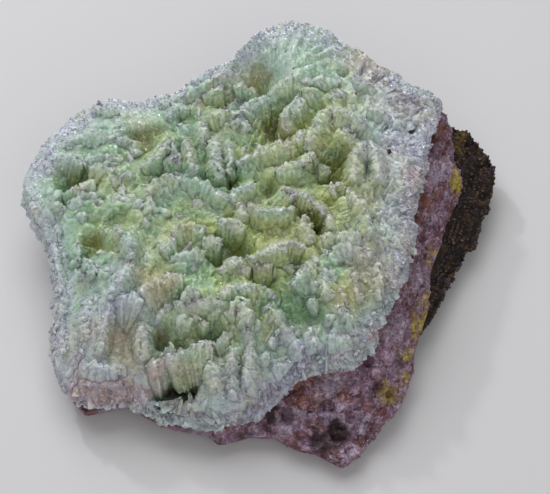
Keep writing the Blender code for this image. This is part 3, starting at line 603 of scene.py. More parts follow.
def crust_body():
    turns, top, side, sole = 620, 92, 26, 6
    angle = np.linspace(0, 2 * math.pi, turns, endpoint=False)[None, :]
    radius, rim = reach(CRUST_EDGE, angle)
    share = seam_share(angle)
    part = (np.arange(1, top + 1) / top)[:, None] ** 0.9
    x, y = around_heart(angle, radius * part)
    lifted = drawn_up(x, y) * (1 - part**8)
    z = field(x, y) + lifted - blobs(x, y, POCKETS, 3)
    sugar = 0.22 * noise(x, y, z, 0.9, 5) + 0.12 * noise(x, y, z, 0.5, 6)
    rough = 0.75 * chips(x, y, 0, 2.6, 20) + fibres(x, y, z) + sugar
    z = z + rough * (1 - 0.5 * part**6)
    upper = np.stack([x, y, z], axis=-1)
    down = (np.arange(1, side + 1) / side)[:, None]
    bulge = 1 + 0.02 * np.sin(math.pi * down)
    out = radius * (bulge + (share - 1) * down**2)
    x, y = around_heart(angle, out)
    foot = seam_height(x, y) + GAP / 2
    z = z[-1:] + (foot - z[-1:]) * down
    calm = np.sin(math.pi * np.minimum(1, down * 1.06)) ** 0.5
    blades = 0.7 - 1.4 * np.abs(noise(x, y, 0.2 * z, 1.9, 24)) + 0.35 * noise(x, y, 0.3 * z, 0.9, 25)
    out = out + calm * (0.9 * chips(x, y, z, 3.2, 21) + 0.3 * noise(x, y, z, 0.9, 5) + 0.8 * blades)
    out = out + ramp(0.2, 0.8, down) * (0.9 * noise(x, y, 0, 5, 22) + 0.6 * noise(x, y, 0, 1.8, 23))
    x, y = around_heart(angle, out)
    lower = np.stack(np.broadcast_arrays(x, y, z), axis=-1)
    back = 1 - (np.arange(1, sole + 1) / (sole + 1))[:, None]
    x, y = around_heart(angle, radius * share * back)
    under = np.stack([x, y, seam_height(x, y) + GAP / 2], axis=-1)
    grid = np.concatenate([upper, lower, under])
    points = capped(grid)
    relief = np.concatenate([rough, 1.2 * blades, 0 * under[..., 2]]).ravel()
    relief = np.append(relief, [0, 0])
    lifted = np.append(lifted.ravel(), np.zeros(len(points) - lifted.size))
    x, y, z = points.T
    radius = reach(CRUST_EDGE, np.arctan2(y - HEART[1], x - HEART[0]))[0]
    away = np.hypot(x - HEART[0], y - HEART[1])
    clear = np.clip(blobs(*seen(x, y, z), SMOOTH) + ramp(0.82, 0.95, away / radius), 0, 1)
    frost = clear * (0.3 + 0.5 * relief) + (1 - clear) * (0.04 * lifted + 0.2 * relief)
    # hollow value: olive colour and painted shade away from the pale smooth places and low in the relief
    values = crystal_values(points, frost, 0.7 * (1 - clear) - 0.25 * relief - 0.12 * lifted)
    values["sugar"] = ramp(0.86, 0.95, away / radius) * (z > rim_height(x, y) - 3) * (0.4 + values["white"])
    return piece("crust_body", points, tube(len(grid), turns), prehnite, values)


body = crust_body()
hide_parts("prehnite_crust")

# Ridges of blades
# Each is a wall of tablets grown together in a sheaf: narrow at the foot, frosted and scalloped along
# the crest, with ribbed green flanks. Fused with the crust they stand on.

ROOT_DEPTH = 9.0
# Where blades hang over an open hole: x, y, radius, and how much less deep they are rooted
OVERHANGS = ((-17, -34, 3.5, 4.8),)


def held_in(x, y, share):
    """Places seen from above, drawn in to a share of the crust's rim where they lie outside it."""
    angle = np.arctan2(y - HEART[1], x - HEART[0])
    away = np.hypot(x - HEART[0], y - HEART[1])
    return around_heart(angle, np.minimum(away, share * reach(CRUST_EDGE, angle)[0]))


def columns(at, width, random):
    """Random columns along a line: for each place how far off its column's middle it is, from -1 to 1, and
    one random number from -1 to 1 that belongs to the column."""
    bounds = np.cumsum(width * random.uniform(0.4, 1.6, int(at[-1] / width * 2) + 6)) - 2.5 * width
    index = np.searchsorted(bounds, at)
    low, high = bounds[index - 1], bounds[index]
    return (2 * at - low - high) / (high - low), random.uniform(-1, 1, len(bounds) + 1)[index]


def wall(crest, thickness, random, step, across):
    """One ridge as a tube: a profile of two flanks and a rounded crest, carried along the crest line.

    Along it the crest is cut in scallops and finer columns of random width and height, and the flanks are
    ribbed by the same columns. Towards the foot the columns draw together, as in a sheaf. It returns the
    grid and, for each point, how far it lies below the crest.
    """
    lengths = np.concatenate([[0], np.cumsum(np.hypot(*np.diff(crest[:, :2], axis=0).T))])
    length = lengths[-1]
    count = max(10, int(length / step))
    at = np.linspace(0, length, count)
    line = np.stack([np.interp(at, lengths, crest[:, i]) for i in range(3)], axis=-1)
    soft = max(1, count // 7)
    padded = np.concatenate([line[:1].repeat(soft, 0), line, line[-1:].repeat(soft, 0)])
    line = np.mean([padded[i : i + count] for i in range(2 * soft + 1)], axis=0)
    line[:, :2] += (line[:, :2] - line[:, :2].mean(axis=0)) * 0.14
    scallop, scallop_top = columns(at, 3.8, random)
    column, column_top = columns(at, 1.0, random)
    swollen = 0.12 * column_top + 0.3 * scallop_top
    span = 2 * at / length - 1
    square, rounding, tilt = random.uniform(3, 10), random.uniform(0.2, 1.3), random.normal(0, 0.9)
    taper = np.sqrt(np.clip(1 - np.abs(span) ** square, 0.03, 1))[:, None]
    spread = np.linspace(-1, 1, across)[None, :]
    v = np.sign(spread) * np.abs(spread) ** 1.35
    deep = np.abs(v)
    drawn = at[:, None] + (length / 2 - at[:, None]) * 0.14 * deep
    x, y, z = (np.interp(drawn, at, line[:, i]) for i in range(3))
    tangent = np.gradient(line[:, :2], axis=0)
    tangent /= np.maximum(1e-6, np.hypot(*tangent.T))[:, None]
    side_x = np.interp(drawn, at, -tangent[:, 1])
    side_y = np.interp(drawn, at, tangent[:, 0])
    facing = (1 - np.sign(v) * side_y) / 2
    run = 0.5 + 2.2 * facing
    half = 0.5 * thickness * (1 - (1 - deep) ** 2.3) * taper
    rib = (0.32 * (1 - np.abs(column)) + swollen - 0.08)[:, None] * ramp(0.02, 0.3, deep) * taper
    shape = random.uniform(1.1, 1.6)
    out = np.sign(v) * (half + run * deep**shape * (0.4 + 0.6 * taper) + rib)
    raised = 0.5 * scallop_top - 0.45 * np.abs(scallop) + 0.2 * column_top - 0.28 * np.abs(column) + 0.2
    raised = raised - rounding * span**2 + random.uniform(-0.5, 0.5) * span
    raised = raised[:, None] * (1 - deep) ** 2
    lean = (0.5 * noise(at, 0 * at, 0 * at + x.mean(), 2.4, 13)[:, None] + tilt) * (1 - deep)
    x, y = x + side_x * (out + lean), y + side_y * (out + lean)
    drop = (ROOT_DEPTH - blobs(crest[:, 0].mean(), crest[:, 1].mean(), OVERHANGS)) * deep**1.7
    grain = 0.4 * chips(x, y, (z - drop) * 0.5, 1.5, 10) + 0.16 * noise(x, y, z - drop, 0.8, 7)
    grain = grain + 0.1 * noise(x, y, z - drop, 0.42, 8)
    z = z - drop + raised + grain * (0.35 + 0.65 * np.exp(-drop))
    x, y = x + side_x * grain * np.sign(v), y + side_y * grain * np.sign(v)
    limit = 0.99 - 0.05 * deep
    x, y = held_in(x, y, limit)
    z = np.maximum(z, seam_height(x, y) + GAP + 0.4)
    return np.stack([x, y, z], axis=-1), drop


def grow(name, ridges, thickness, seed, step, across):
    """Ridges joined in one mesh, with frost along their crests."""
    random = np.random.default_rng(seed)
    points, faces, frost, hollow = [], [], [], []
    start = 0
    for rise, *places in ridges:
        x, y = np.array(places, float).T
        crest = seat(x, y, rise + random.uniform(-0.4, 0.4))
        grid, drop = wall(crest, thickness * random.uniform(0.75, 1.3), random, step, across)
        patch = 0.8 + 0.35 * noise(*np.moveaxis(grid, -1, 0), 3, 9)
        both = capped(grid)
        points.append(both)
        value = 1.1 * np.exp(-drop / 2.1) * patch
        frost.append(np.append(value, [value[0].mean(), value[-1].mean()]))
        # hollow value: olive colour and painted shade that deepens down the flanks below the crest
        value = np.broadcast_to(0.65 * ramp(1.0, 3.5 + rise, drop), patch.shape)
        hollow.append(np.append(value, [1, 1]))
        faces.append([[corner + start for corner in face] for face in tube(*grid.shape[:2])])
        start += len(both)
    points = np.concatenate(points)
    values = crystal_values(points, np.concatenate(frost), np.concatenate(hollow))
    made = piece(name, points, sum(faces, []), prehnite, values)
    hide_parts("prehnite_crust")
    return made


ridges = grow("ridges", RIDGES, 2.3, 31, 0.27, 21)

# Smaller blades between the ridges
# Stubby sheaves, a few millimetres long, that fill the field between the great ridges.


def small_ridges(count, random):
    """Short crests at random places, kept off the listed crests and out of the hollows."""
    listed = np.concatenate([np.linspace(a, b, 6) for _, *line in RIDGES for a, b in zip(line, line[1:])])
    made = []
    while len(made) < count:
        angle, share = random.uniform(-math.pi, math.pi), random.uniform(0.04, 0.92) ** 0.5
        x, y = around_heart(angle, share * reach(CRUST_EDGE, angle)[0])
        near = np.hypot(*(listed - (x, y)).T).min()
        if near < 1.5 or blobs(x, y, POCKETS) > 1.6 or blobs(x, y, SMOOTH) > 0.5:
            continue
        nearest = listed[np.argsort(np.hypot(*(listed - (x, y)).T))[:2]]
        turn = math.atan2(*(nearest[1] - nearest[0])[::-1]) + random.normal(0, 0.6)
        long = random.uniform(1.2, 3.2)
        ends = [(x - long * math.cos(turn), y - long * math.sin(turn)), (x, y),
                (x + long * math.cos(turn), y + long * math.sin(turn))]
        made.append((random.uniform(0.6, 2.4), *ends))
        listed = np.concatenate([listed, np.array(ends)])
    return made


small = grow("small_ridges", small_ridges(105, np.random.default_rng(5)), 1.6, 32, 0.28, 17)

# Druse
# Tiny tablets that sugar the crests and the rim. Each is a block that narrows to a slanting end.


def surface(host):
    """The vertices of a piece in millimetres, and their normals."""
    number = 3 * len(host.data.vertices)
    place, normal = np.empty(number, np.float32), np.empty(number, np.float32)
    host.data.vertices.foreach_get("co", place)
    host.data.vertices.foreach_get("normal", normal)
    return place.reshape(-1, 3) / MM + CENTRE, normal.reshape(-1, 3)


def blocks(place, up, size, random):
    """A tablet at each place, standing along up, with a slanting and narrower end. Returns points and faces."""
    count = len(place)
    up = up / np.linalg.norm(up, axis=1)[:, None]
    flat = np.cross(up, random.normal(0, 1, (count, 3)))
    flat /= np.linalg.norm(flat, axis=1)[:, None]
    third = np.cross(up, flat)
    wide = size * random.uniform(0.6, 1.3, (count, 1, 1))
    thick = wide * random.uniform(0.35, 0.8, (count, 1, 1))
    tall = wide * random.uniform(0.5, 1.1, (count, 1, 1))
    corner = np.array([(-1, -1, -1), (1, -1, -1), (1, 1, -1), (-1, 1, -1),
                       (-0.7, -0.8, 0.6), (0.7, -0.8, 0.8), (0.7, 0.8, 1.0), (-0.7, 0.8, 0.8)]) / 2
    points = (place[:, None] + corner[:, :1] * wide * flat[:, None]
              + corner[:, 1:2] * thick * third[:, None] + (corner[:, 2:] + 0.05) * tall * up[:, None])
    sides = np.array([(3, 2, 1, 0), (4, 5, 6, 7), (0, 1, 5, 4), (1, 2, 6, 5), (2, 3, 7, 6), (3, 0, 4, 7)])
    return points.reshape(-1, 3), (sides[None] + 8 * np.arange(count)[:, None, None]).reshape(-1, 4)


def grown_on(host, count, key, size, seed):
    """Blocks on random points of a mesh, more of them where the mesh's value is high, standing outwards."""
    random = np.random.default_rng(seed)
    place, normal = surface(host)
    value = np.empty(len(place), np.float32)
    host.data.attributes[key].data.foreach_get("value", value)
    chance = np.clip(value, 0, 1) * (normal[:, 2] > -0.2)
    picked = random.choice(len(place), count, p=chance / chance.sum())
    up = normal[picked] + (0, 0, 0.5) + random.normal(0, 0.3, (count, 3))
    points, faces = blocks(place[picked], up, size, random)
    frost = np.repeat(np.clip(0.35 + 0.5 * value[picked] + random.normal(0, 0.25, count), 0, 1), 8)
    return points, faces, frost


# the druse is whitened by 0.45: partly its frosted colour, partly painted light on the shaded sides of its tiny blocks
sugar = prehnite_material("prehnite sugar", 0.6, 0.45)


def druse(name, hosts, seed):
    """Blocks on several meshes, joined in one piece."""
    points, faces, frost, start = [], [], [], 0
    for host, count, key, size in hosts:
        seed += 1
        p, f, v = grown_on(host, count, key, size, seed)
        points.append(p)
        faces.append(f + start)
        frost.append(v)
        start += len(p)
    points = np.concatenate(points)
    faces = np.concatenate(faces).tolist()
    made = piece(name, points, faces, sugar, crystal_values(points, np.concatenate(frost), 0), smooth=False)
    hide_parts("prehnite_crust")


druse("druse", ((ridges, 5600, "frost", 0.42), (small, 1500, "frost", 0.4), (body, 3400, "white", 0.4),
                (body, 6000, "sugar", 0.36)), 60)

# Fibres of the broken sides
# Where the crust is broken across, its crystals lie open as long white laths that run out from a middle.

# Fans of laths: their middle, then angle and distance ranges, how many, and how long
LATHS = (
    (19, 18, -62, 62, 4, 14, 26, 9), (20, 4, -75, 35, 3, 9, 16, 8), (16, 29, 0, 70, 5, 16, 16, 9),
    (18, -6, -95, 0, 3, 9, 14, 6.5), (12, -19, -120, -20, 2, 12, 28, 6),
    (-4, -26, -115, -60, 3, 18, 46, 7.5), (6, -26, -110, -40, 2, 9, 24, 6),
    (-34, -18, -130, -50, 4, 22, 26, 7), (-18, -36, -150, -40, 3, 10, 24, 6.5),
)


def wedges(tail, tip, wide, thick, tilt, random):
    """A six-sided flat bar from each tail to each tip, narrow at the tail. Returns points and faces."""
    count = len(tail)
    ahead = (tip - tail) / np.linalg.norm(tip - tail, axis=1)[:, None]
    side = np.cross(ahead, (0, 0, 1)) + random.normal(0, tilt, (count, 3))
    side -= ahead * (side * ahead).sum(axis=1)[:, None]
    side /= np.linalg.norm(side, axis=1)[:, None]
    up = np.cross(side, ahead)
    at = np.array([0, 0.5, 0.93, 1.0])[:, None, None]
    swell = np.array([0.3, 0.75, 1.0, 0.8])[:, None, None]
    ring = np.radians([24, 90, 156, 204, 270, 336])[None, :, None]
    across = wide[:, None, None, None] * swell * np.cos(ring) / 2 * side[:, None, None]
    across = across + thick[:, None, None, None] * np.sin(ring) / 2 * up[:, None, None]
    points = tail[:, None, None] + (tip - tail)[:, None, None] * at + across
    points = np.concatenate([points.reshape(count, -1, 3), tail[:, None], tip[:, None]], axis=1)
    size = points.shape[1]
    return points, [[corner + size * i for corner in face] for i in range(count) for face in tube(4, 6)]


def laths(name, tail, tip, wide, thick, tilt, random):
    points, faces = wedges(tail, tip, wide, thick, tilt, random)
    frost = np.repeat(random.uniform(0.0, 0.5, len(tail)), points.shape[1])
    values = crystal_values(points, frost, 0)
    made = piece(name, points, faces, prehnite, values, smooth=False)
    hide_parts("prehnite_crust")


def fans(fans, random):
    """Wedges laid on the field, pointing away from the middle of their fan and widest at the far end."""
    rows = []
    for a, b, first, last, near, far, count, long in fans:
        turn = np.radians(random.uniform(first, last, count))
        away = random.uniform(near, far, count)
        wander = turn + random.normal(0, 0.1, count)
        rows.append(np.stack([a + away * np.cos(turn), b + away * np.sin(turn), np.cos(wander), np.sin(wander),
                              long * random.uniform(0.5, 1.2, count)]))
    rows = np.concatenate(rows, axis=1)
    x, y, ahead_x, ahead_y, long = rows[:, blobs(rows[0], rows[1], POCKETS) < 0.6]
    x, y = held_in(x, y, 0.98)
    tip_x, tip_y = held_in(x + 0.5 * long * ahead_x, y + 0.5 * long * ahead_y, 0.985)
    tail_x, tail_y = x - 0.5 * long * ahead_x, y - 0.5 * long * ahead_y
    tip = np.stack([tip_x, tip_y, field(tip_x, tip_y) + random.uniform(-0.3, 0.35, len(x))], axis=-1)
    tail = np.stack([tail_x, tail_y, field(tail_x, tail_y) + random.uniform(-0.7, 0.1, len(x))], axis=-1)
    laths("laths", tail, tip, np.minimum(1.0 + random.exponential(0.9, len(x)), 3.2),
          random.uniform(0.6, 1.1, len(x)), 0.18, random)


def fringe(count, random):
    """Wedges on the crust's side, that run out and down from the rim, lower at the back and the left."""
    angle = np.radians(random.uniform(-180, 180, count))
    front = (angle < 0.15) & (angle > -3)
    down = random.uniform(0, 0.75, count) + np.where(front, 0, 0.2)
    long = random.uniform(2.2, 6.5, count)
    radius, rim = reach(CRUST_EDGE, angle)
    away = radius * (1.0 + (seam_share(angle) - 1) * down**2)
    x, y = around_heart(angle, away - 0.2)
    z = rim + (seam_height(x, y) - rim) * down
    tail = np.stack([x, y, z], axis=-1)
    lean = angle + random.normal(0, 0.8, count)
    steep = random.uniform(0.25, 1.4, count)
    ahead = np.stack([np.cos(lean) * np.cos(steep), np.sin(lean) * np.cos(steep), -np.sin(steep)], axis=-1)
    reachable = np.minimum(long, 0.6 + (z - seam_height(x, y)) / np.sin(steep))
    middle = ahead * reachable[:, None] * np.array([0.45, 0.45, 1.0])
    laths("fringe", tail - 0.35 * middle, tail + 0.65 * middle, random.uniform(0.6, 2.6, count),
          random.uniform(0.5, 1.2, count), 0.3, random)


fans(LATHS, np.random.default_rng(71))
fringe(1000, np.random.default_rng(72))

# Specks
# Grains of iron oxide and rock caught on the crystals.


def specks(spots, hosts, random):
    """Each is x and y on the reading plane, its size, and its tone: black at 0, red-brown, then mustard at 1.
    It sits on the highest vertex that is seen there."""
    surfaces = np.concatenate([surface(host)[0] for host in hosts])
    x, y = seen(*surfaces.T)
    place = []
    for a, b, size, tone in spots:
        near = surfaces[np.hypot(x - a, y - b) < 0.6]
        place.append(near[np.argmax(near[:, 2])])
    place, size, tone = np.array(place), np.array(spots)[:, 2], np.array(spots)[:, 3]
    points, faces = blocks(place, random.normal(0, 0.4, (len(place), 3)) + (0, 0, 1), size[:, None, None], random)
    made, tree, shader = new_material("specks")
    tint = add(tree, "Attribute", attribute_name="tone").outputs["Fac"]
    colour = blend(tree, shifted(tree, tint, 0.0, 0.5), (0.008, 0.005, 0.005, 1), (0.24, 0.05, 0.02, 1))
    colour = blend(tree, shifted(tree, tint, 0.6, 1.0), colour, (0.42, 0.28, 0.03, 1))
    tree.links.new(colour, shader.inputs["Base Color"])
    shader.inputs["Roughness"].default_value = 0.6
    grains = piece("specks", points, faces.tolist(), made, {"tone": np.repeat(tone, 8)}, smooth=False)
    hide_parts("prehnite_crust")


specks(
    ((24.1, 15.5, 0.9, 0.05), (-3.6, 8.2, 0.5, 0), (1.3, 6.4, 0.7, 0.9), (7.7, 12.6, 0.65, 0.5), (18.1, 31.7, 0.6, 0.5),
     (4, 38.3, 0.9, 0.7), (22.5, 38.6, 0.6, 0.5), (-12.6, -32.4, 0.8, 0.6), (-6.8, -36.4, 0.6, 0),
     (-38.1, -18.3, 0.5, 0), (-8.5, -6, 0.4, 0.9), (3.6, 2.6, 0.4, 0.9), (-41, -12, 0.4, 0.4), (14.6, 17.4, 0.4, 0)),
    (body, ridges, small), np.random.default_rng(75))

# Altered rock
# The band between crust and basalt, once basalt too: mauve and brick red, granular, with white veins
# and a few open vugs. It shows in the broken wall at the right and the front.


# Colours of the broken wall, and painted shadow in its vugs and holes, as seen on the reading plane: x, y, radius and
# strength
RUST = (
    (34.5, 21.9, 2.6, 1), (32, 16.5, 2.2, 0.8), (30, 13, 1.8, 0.8), (31.2, 3.6, 2.4, 0.8), (30, -1, 1.8, 0.7),
    (28, -10.3, 1.6, 0.7), (26, -17, 2.2, 0.8), (21, -31.5, 1.6, 0.8), (17.5, -36, 1.6, 0.7),
    (12.3, -36.4, 3.6, 1), (3.2, -39.5, 2.6, 0.9), (6.3, -44.5, 2.4, 0.8), (13.1, -43.4, 1.6, 0.9),
    (8, -38, 3, 0.8), (-27, -45, 3, 0.7), (-22, -46.6, 2.4, 0.6), (-36, -44.5, 3, 0.4), (16, -53, 2, 0.3),
)
PALE = (
    (33, 10.5, 2.2, 1), (30, -16.3, 2.4, 0.7), (35.6, 14, 2, 0.5), (10.5, -41, 3.4, 0.8), (24, -28, 2.6, 0.8),
    (12.9, -45.5, 1.1, 1), (9, -48.6, 1.4, 0.8), (11, -48.3, 1.2, 0.9), (4.8, -47.6, 1.2, 1),
    (17.5, -48, 2.2, 0.9), (22, -37, 2.4, 0.6), (30.6, -7, 1.4, 0.6), (15, -33.6, 2, 0.7), (-33, -45, 2.4, 0.6),
    (13.5, -56, 2.6, 0.5), (2, -51, 2.4, 0.6), (-14, -50.5, 3, 0.7),
)
# Painted shadow: near-black spots in the vugs and small holes of the wall
VUG_SHADE = (
    (0, -46.4, 1.8, 1), (9, -53.2, 1.9, 0.9), (10.1, -46, 1.2, 1), (11.8, -50.6, 1.9, 1), (30.6, 4.3, 0.8, 0.8),
    (18.7, -33.1, 0.9, 1), (24.6, -19.6, 1.2, 0.7), (-3, -50, 2.4, 0.6), (13, -43.2, 0.7, 0.8), (19.5, -41.6, 1, 0.6),
)
YELLOW = (
    (38.4, 8, 1.7, 1), (38.2, 5.4, 1.5, 0.9), (38, 11.6, 1.2, 0.8), (33.8, -8.7, 1.2, 0.8), (32.7, -12.1, 1.3, 0.7),
    (31.5, -18.9, 1.2, 0.9), (30.6, -21.4, 1.6, 1), (29.2, -25.5, 2.2, 1), (28.4, -27.8, 2.2, 1), (26.7, -33.4, 1.7, 0.8),
    (25.3, -38.6, 1.6, 0.7), (22.4, -43.1, 2.6, 0.6),
)
# Vugs: middle, and the three half axes
VUGS = ((10.9, -36.8, 9.2, 2.1, 2.6, 2.2), (13, -40.8, 7, 1.7, 3.2, 2.4), (19.4, -27.6, 14.6, 1.3, 2, 1.3),
        (2.6, -37, 7.6, 1.4, 2, 1.2), (31.8, 8.6, 19, 1.2, 1, 1), (24.4, -32.6, 8.8, 1.1, 1.2, 0.9))


def speckled(tree, place, colour, fine):
    """The colour broken up into grains, each a little lighter or darker than its neighbours."""
    cells = add(tree, "TexVoronoi", {"Vector": place, "Scale": fine})
    shade = add(tree, "SeparateColor", {"Color": cells.outputs["Color"]}).outputs["Green"]
    light = shifted(tree, shade, 0.0, 1.0, 0.55, 1.4)
    grey = add(tree, "CombineColor", {0: light, 1: light, 2: light}).outputs[0]
    return blend(tree, 1.0, colour, grey, "MULTIPLY"), cells.outputs["Distance"]


def altered_material():
    made, tree, shader = new_material("altered_rock")
    place = add(tree, "TexCoord").outputs["Object"]
    value = {k: add(tree, "Attribute", attribute_name=k).outputs["Fac"] for k in ("rust", "pale", "dark", "yellow")}
    cloud = add(tree, "TexNoise", {"Vector": place, "Scale": 190, "Detail": 4, "Roughness": 0.65}).outputs["Fac"]
    grain = add(tree, "TexNoise", {"Vector": place, "Scale": 900, "Detail": 6, "Roughness": 0.75}).outputs["Fac"]
    torn = maths(tree, "MULTIPLY", grain, 1.1)

    def patch(name, reach_):
        return shifted(tree, maths(tree, "ADD", value[name], torn), 0.8 - reach_, 1.3 - reach_)

    colour = blend(tree, shifted(tree, cloud, 0.38, 0.62), (0.15, 0.055, 0.06, 1), (0.34, 0.205, 0.33, 1))
    colour = blend(tree, shifted(tree, grain, 0.35, 0.5, 0.55, 0.0), colour, (0.09, 0.045, 0.06, 1))
    stones = add(tree, "TexVoronoi", {"Vector": place, "Scale": 520, "Randomness": 1.0})
    kind = add(tree, "SeparateColor", {"Color": stones.outputs["Color"]}).outputs
    colour = blend(tree, shifted(tree, kind["Red"], 0.66, 0.74, 0.0, 0.55), colour, (0.21, 0.085, 0.055, 1))
    colour = blend(tree, shifted(tree, kind["Blue"], 0.72, 0.8, 0.0, 0.5), colour, (0.47, 0.36, 0.49, 1))
    colour = blend(tree, shifted(tree, kind["Green"], 0.78, 0.86, 0.0, 0.55), colour, (0.07, 0.035, 0.04, 1))
    colour = blend(tree, maths(tree, "MULTIPLY", patch("rust", 0.0), 0.8), colour, (0.25, 0.095, 0.06, 1))
    colour = blend(tree, maths(tree, "MULTIPLY", patch("pale", 0.05), 0.8), colour, (0.54, 0.46, 0.60, 1))
    vein = add(tree, "TexNoise", {"Vector": place, "Scale": 170, "Detail": 4, "Distortion": 2.4}).outputs["Fac"]
    vein = maths(tree, "ABSOLUTE", maths(tree, "SUBTRACT", vein, 0.5))
    vein = maths(tree, "MULTIPLY", shifted(tree, vein, 0.0, 0.022, 0.9, 0.0), shifted(tree, cloud, 0.42, 0.6))
    colour = blend(tree, vein, colour, (0.60, 0.52, 0.63, 1))
    # painted shadow in the vugs and holes
    colour = blend(tree, maths(tree, "MULTIPLY", patch("dark", 0.05), 0.92), colour, (0.025, 0.012, 0.012, 1))
    colour = blend(tree, maths(tree, "MULTIPLY", patch("yellow", 0.0), 0.9), colour, (0.46, 0.36, 0.03, 1))
    colour, edges = speckled(tree, place, colour, 1300)
    height = maths(tree, "ADD", grain, maths(tree, "MULTIPLY", edges, 0.4))
    bump = add(tree, "Bump", {"Height": height, "Strength": 0.8, "Distance": 0.0006})
    tree.links.new(colour, shader.inputs["Base Color"])
    tree.links.new(bump.outputs["Normal"], shader.inputs["Normal"])
    tree.links.new(shifted(tree, grain, 0.35, 0.65, 0.75, 0.4), shader.inputs["Roughness"])
    return made


def sink(x, y, z, vugs):
    """How deep each point lies in a vug: the half ball of the vug it is in, or nothing."""
    total = 0.0
    for a, b, c, *half in vugs:
        off = ((x - a) / half[0]) ** 2 + ((y - b) / half[1]) ** 2 + ((z - c) / (half[2] * 1.5)) ** 2
        total = np.maximum(total, 3.2 * np.sqrt(np.clip(1 - off, 0, 1)))
    return total


def altered_rock():
    turns, roof, wall_rows, sole = 620, 6, 104, 6
    angle = np.linspace(0, 2 * math.pi, turns, endpoint=False)[None, :]
    foot_radius, foot = reach(ALTERED_EDGE, angle)
    roof_radius = reach(CRUST_EDGE, angle)[0] * seam_share(angle) - 0.2
    x, y = around_heart(angle, roof_radius * (np.arange(1, roof + 1) / roof)[:, None])
    top = np.stack([x, y, seam_height(x, y) - GAP / 2], axis=-1)
    part = (np.arange(1, wall_rows + 1) / wall_rows)[:, None]
    slope, steep = np.minimum(1, part / 0.85), np.maximum(0, part - 0.85) / 0.15
    out = roof_radius + (foot_radius - roof_radius) * slope
    x, y = around_heart(angle, out)
    start = seam_height(x, y) - GAP / 2
    low = basalt_height(x, y) + GAP
    foot = np.maximum(foot, low + 1.2)
    z = np.maximum(start + (foot - start) * slope + (low - foot) * steep, low)
    calm = np.sin(math.pi * part) ** 0.7 * np.minimum(1, (start - low) / 9)
    fall, run = np.maximum(start - foot, 0.5), np.maximum(foot_radius - roof_radius, 0)
    flat = run / np.hypot(run, fall) * (1 - np.clip(steep * 2, 0, 1))
    relief = (1.7 * chips(x, y, z, 6, 41) + 1.3 * chips(x, y, z, 2.4, 42) + 0.8 * noise(x, y, z, 6, 43)
              + 0.6 * noise(x, y, z, 1.3, 45) + 0.3 * noise(x, y, z, 0.6, 44))
    relief = calm * (relief - 0.3) - sink(x, y, z, VUGS) * ramp(0, 0.08, part)
    out = out + relief * (1 - 0.7 * flat)
    z = np.maximum(z + relief * flat, low)
    x, y = around_heart(angle, out)
    middle = np.stack([x, y, z], axis=-1)
    back = 1 - (np.arange(1, sole + 1) / (sole + 1))[:, None]
    x, y = around_heart(angle, 0.985 * foot_radius * back)
    under = np.stack([x, y, basalt_height(x, y) + GAP], axis=-1)
    grid = np.concatenate([top, middle, under])
    points = capped(grid)
    x, y = seen(*points.T)
    blur = 0.3 * noise(*points.T, 3, 46) + 0.2 * noise(*points.T, 1.1, 47)
    x = x + 1.6 * noise(*points.T, 3.4, 48) + 0.8 * noise(*points.T, 1.2, 49)
    y = y + 1.6 * noise(*points.T, 3.4, 50) + 0.8 * noise(*points.T, 1.2, 51)
    values = {k: np.clip(blobs(x, y, spots) + blur * (k != "yellow"), 0, 1)
              for k, spots in (("rust", RUST), ("pale", PALE), ("dark", VUG_SHADE), ("yellow", YELLOW))}
    # fewer grains where the vugs are painted dark as shadow
    values["grains"] = np.clip(0.3 + values["pale"] - 2 * values["dark"] + 2 * blur, 0, 1)
    return piece("altered_rock", points, tube(len(grid), turns), altered_material(), values)


altered = altered_rock()
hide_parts("altered_zone")


def altered_grains(host, count, seed):
    """Small pale and mauve crystals that stand on the broken rock."""
    points, faces, frost = grown_on(host, count, "grains", 0.42, seed)
    made, tree, shader = new_material("altered grains")
    tint = add(tree, "Attribute", attribute_name="frost").outputs["Fac"]
    colour = blend(tree, tint, (0.13, 0.06, 0.065, 1), (0.38, 0.28, 0.35, 1))
    tree.links.new(colour, shader.inputs["Base Color"])
    shader.inputs["Roughness"].default_value = 0.3
    grains = piece("altered_grains", points, faces.tolist(), made, {"frost": frost}, smooth=False)
    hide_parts("altered_zone")


altered_grains(altered, 6500, 81)

# Basalt
# The dark host rock that the specimen rests on, broken rough, with mustard stains along the contact.


# Ochre and mustard stains, as seen on the reading plane: x, y, radius and strength
STAINS = (
    (39.6, 18.6, 2, 0.9), (41, 21, 2.2, 0.8), (38.4, 16, 1.8, 0.9), (45.4, 15, 1.6, 0.6), (39.4, 8, 1.8, 1),
    (43.6, 2.2, 1.6, 0.7), (46.4, 9, 1.4, 0.5), (34.2, -9.4, 1.4, 0.8), (35, -20.5, 1.4, 0.5), (41, -2, 2, 0.5),
    (32.2, -19, 1.2, 0.6),
)


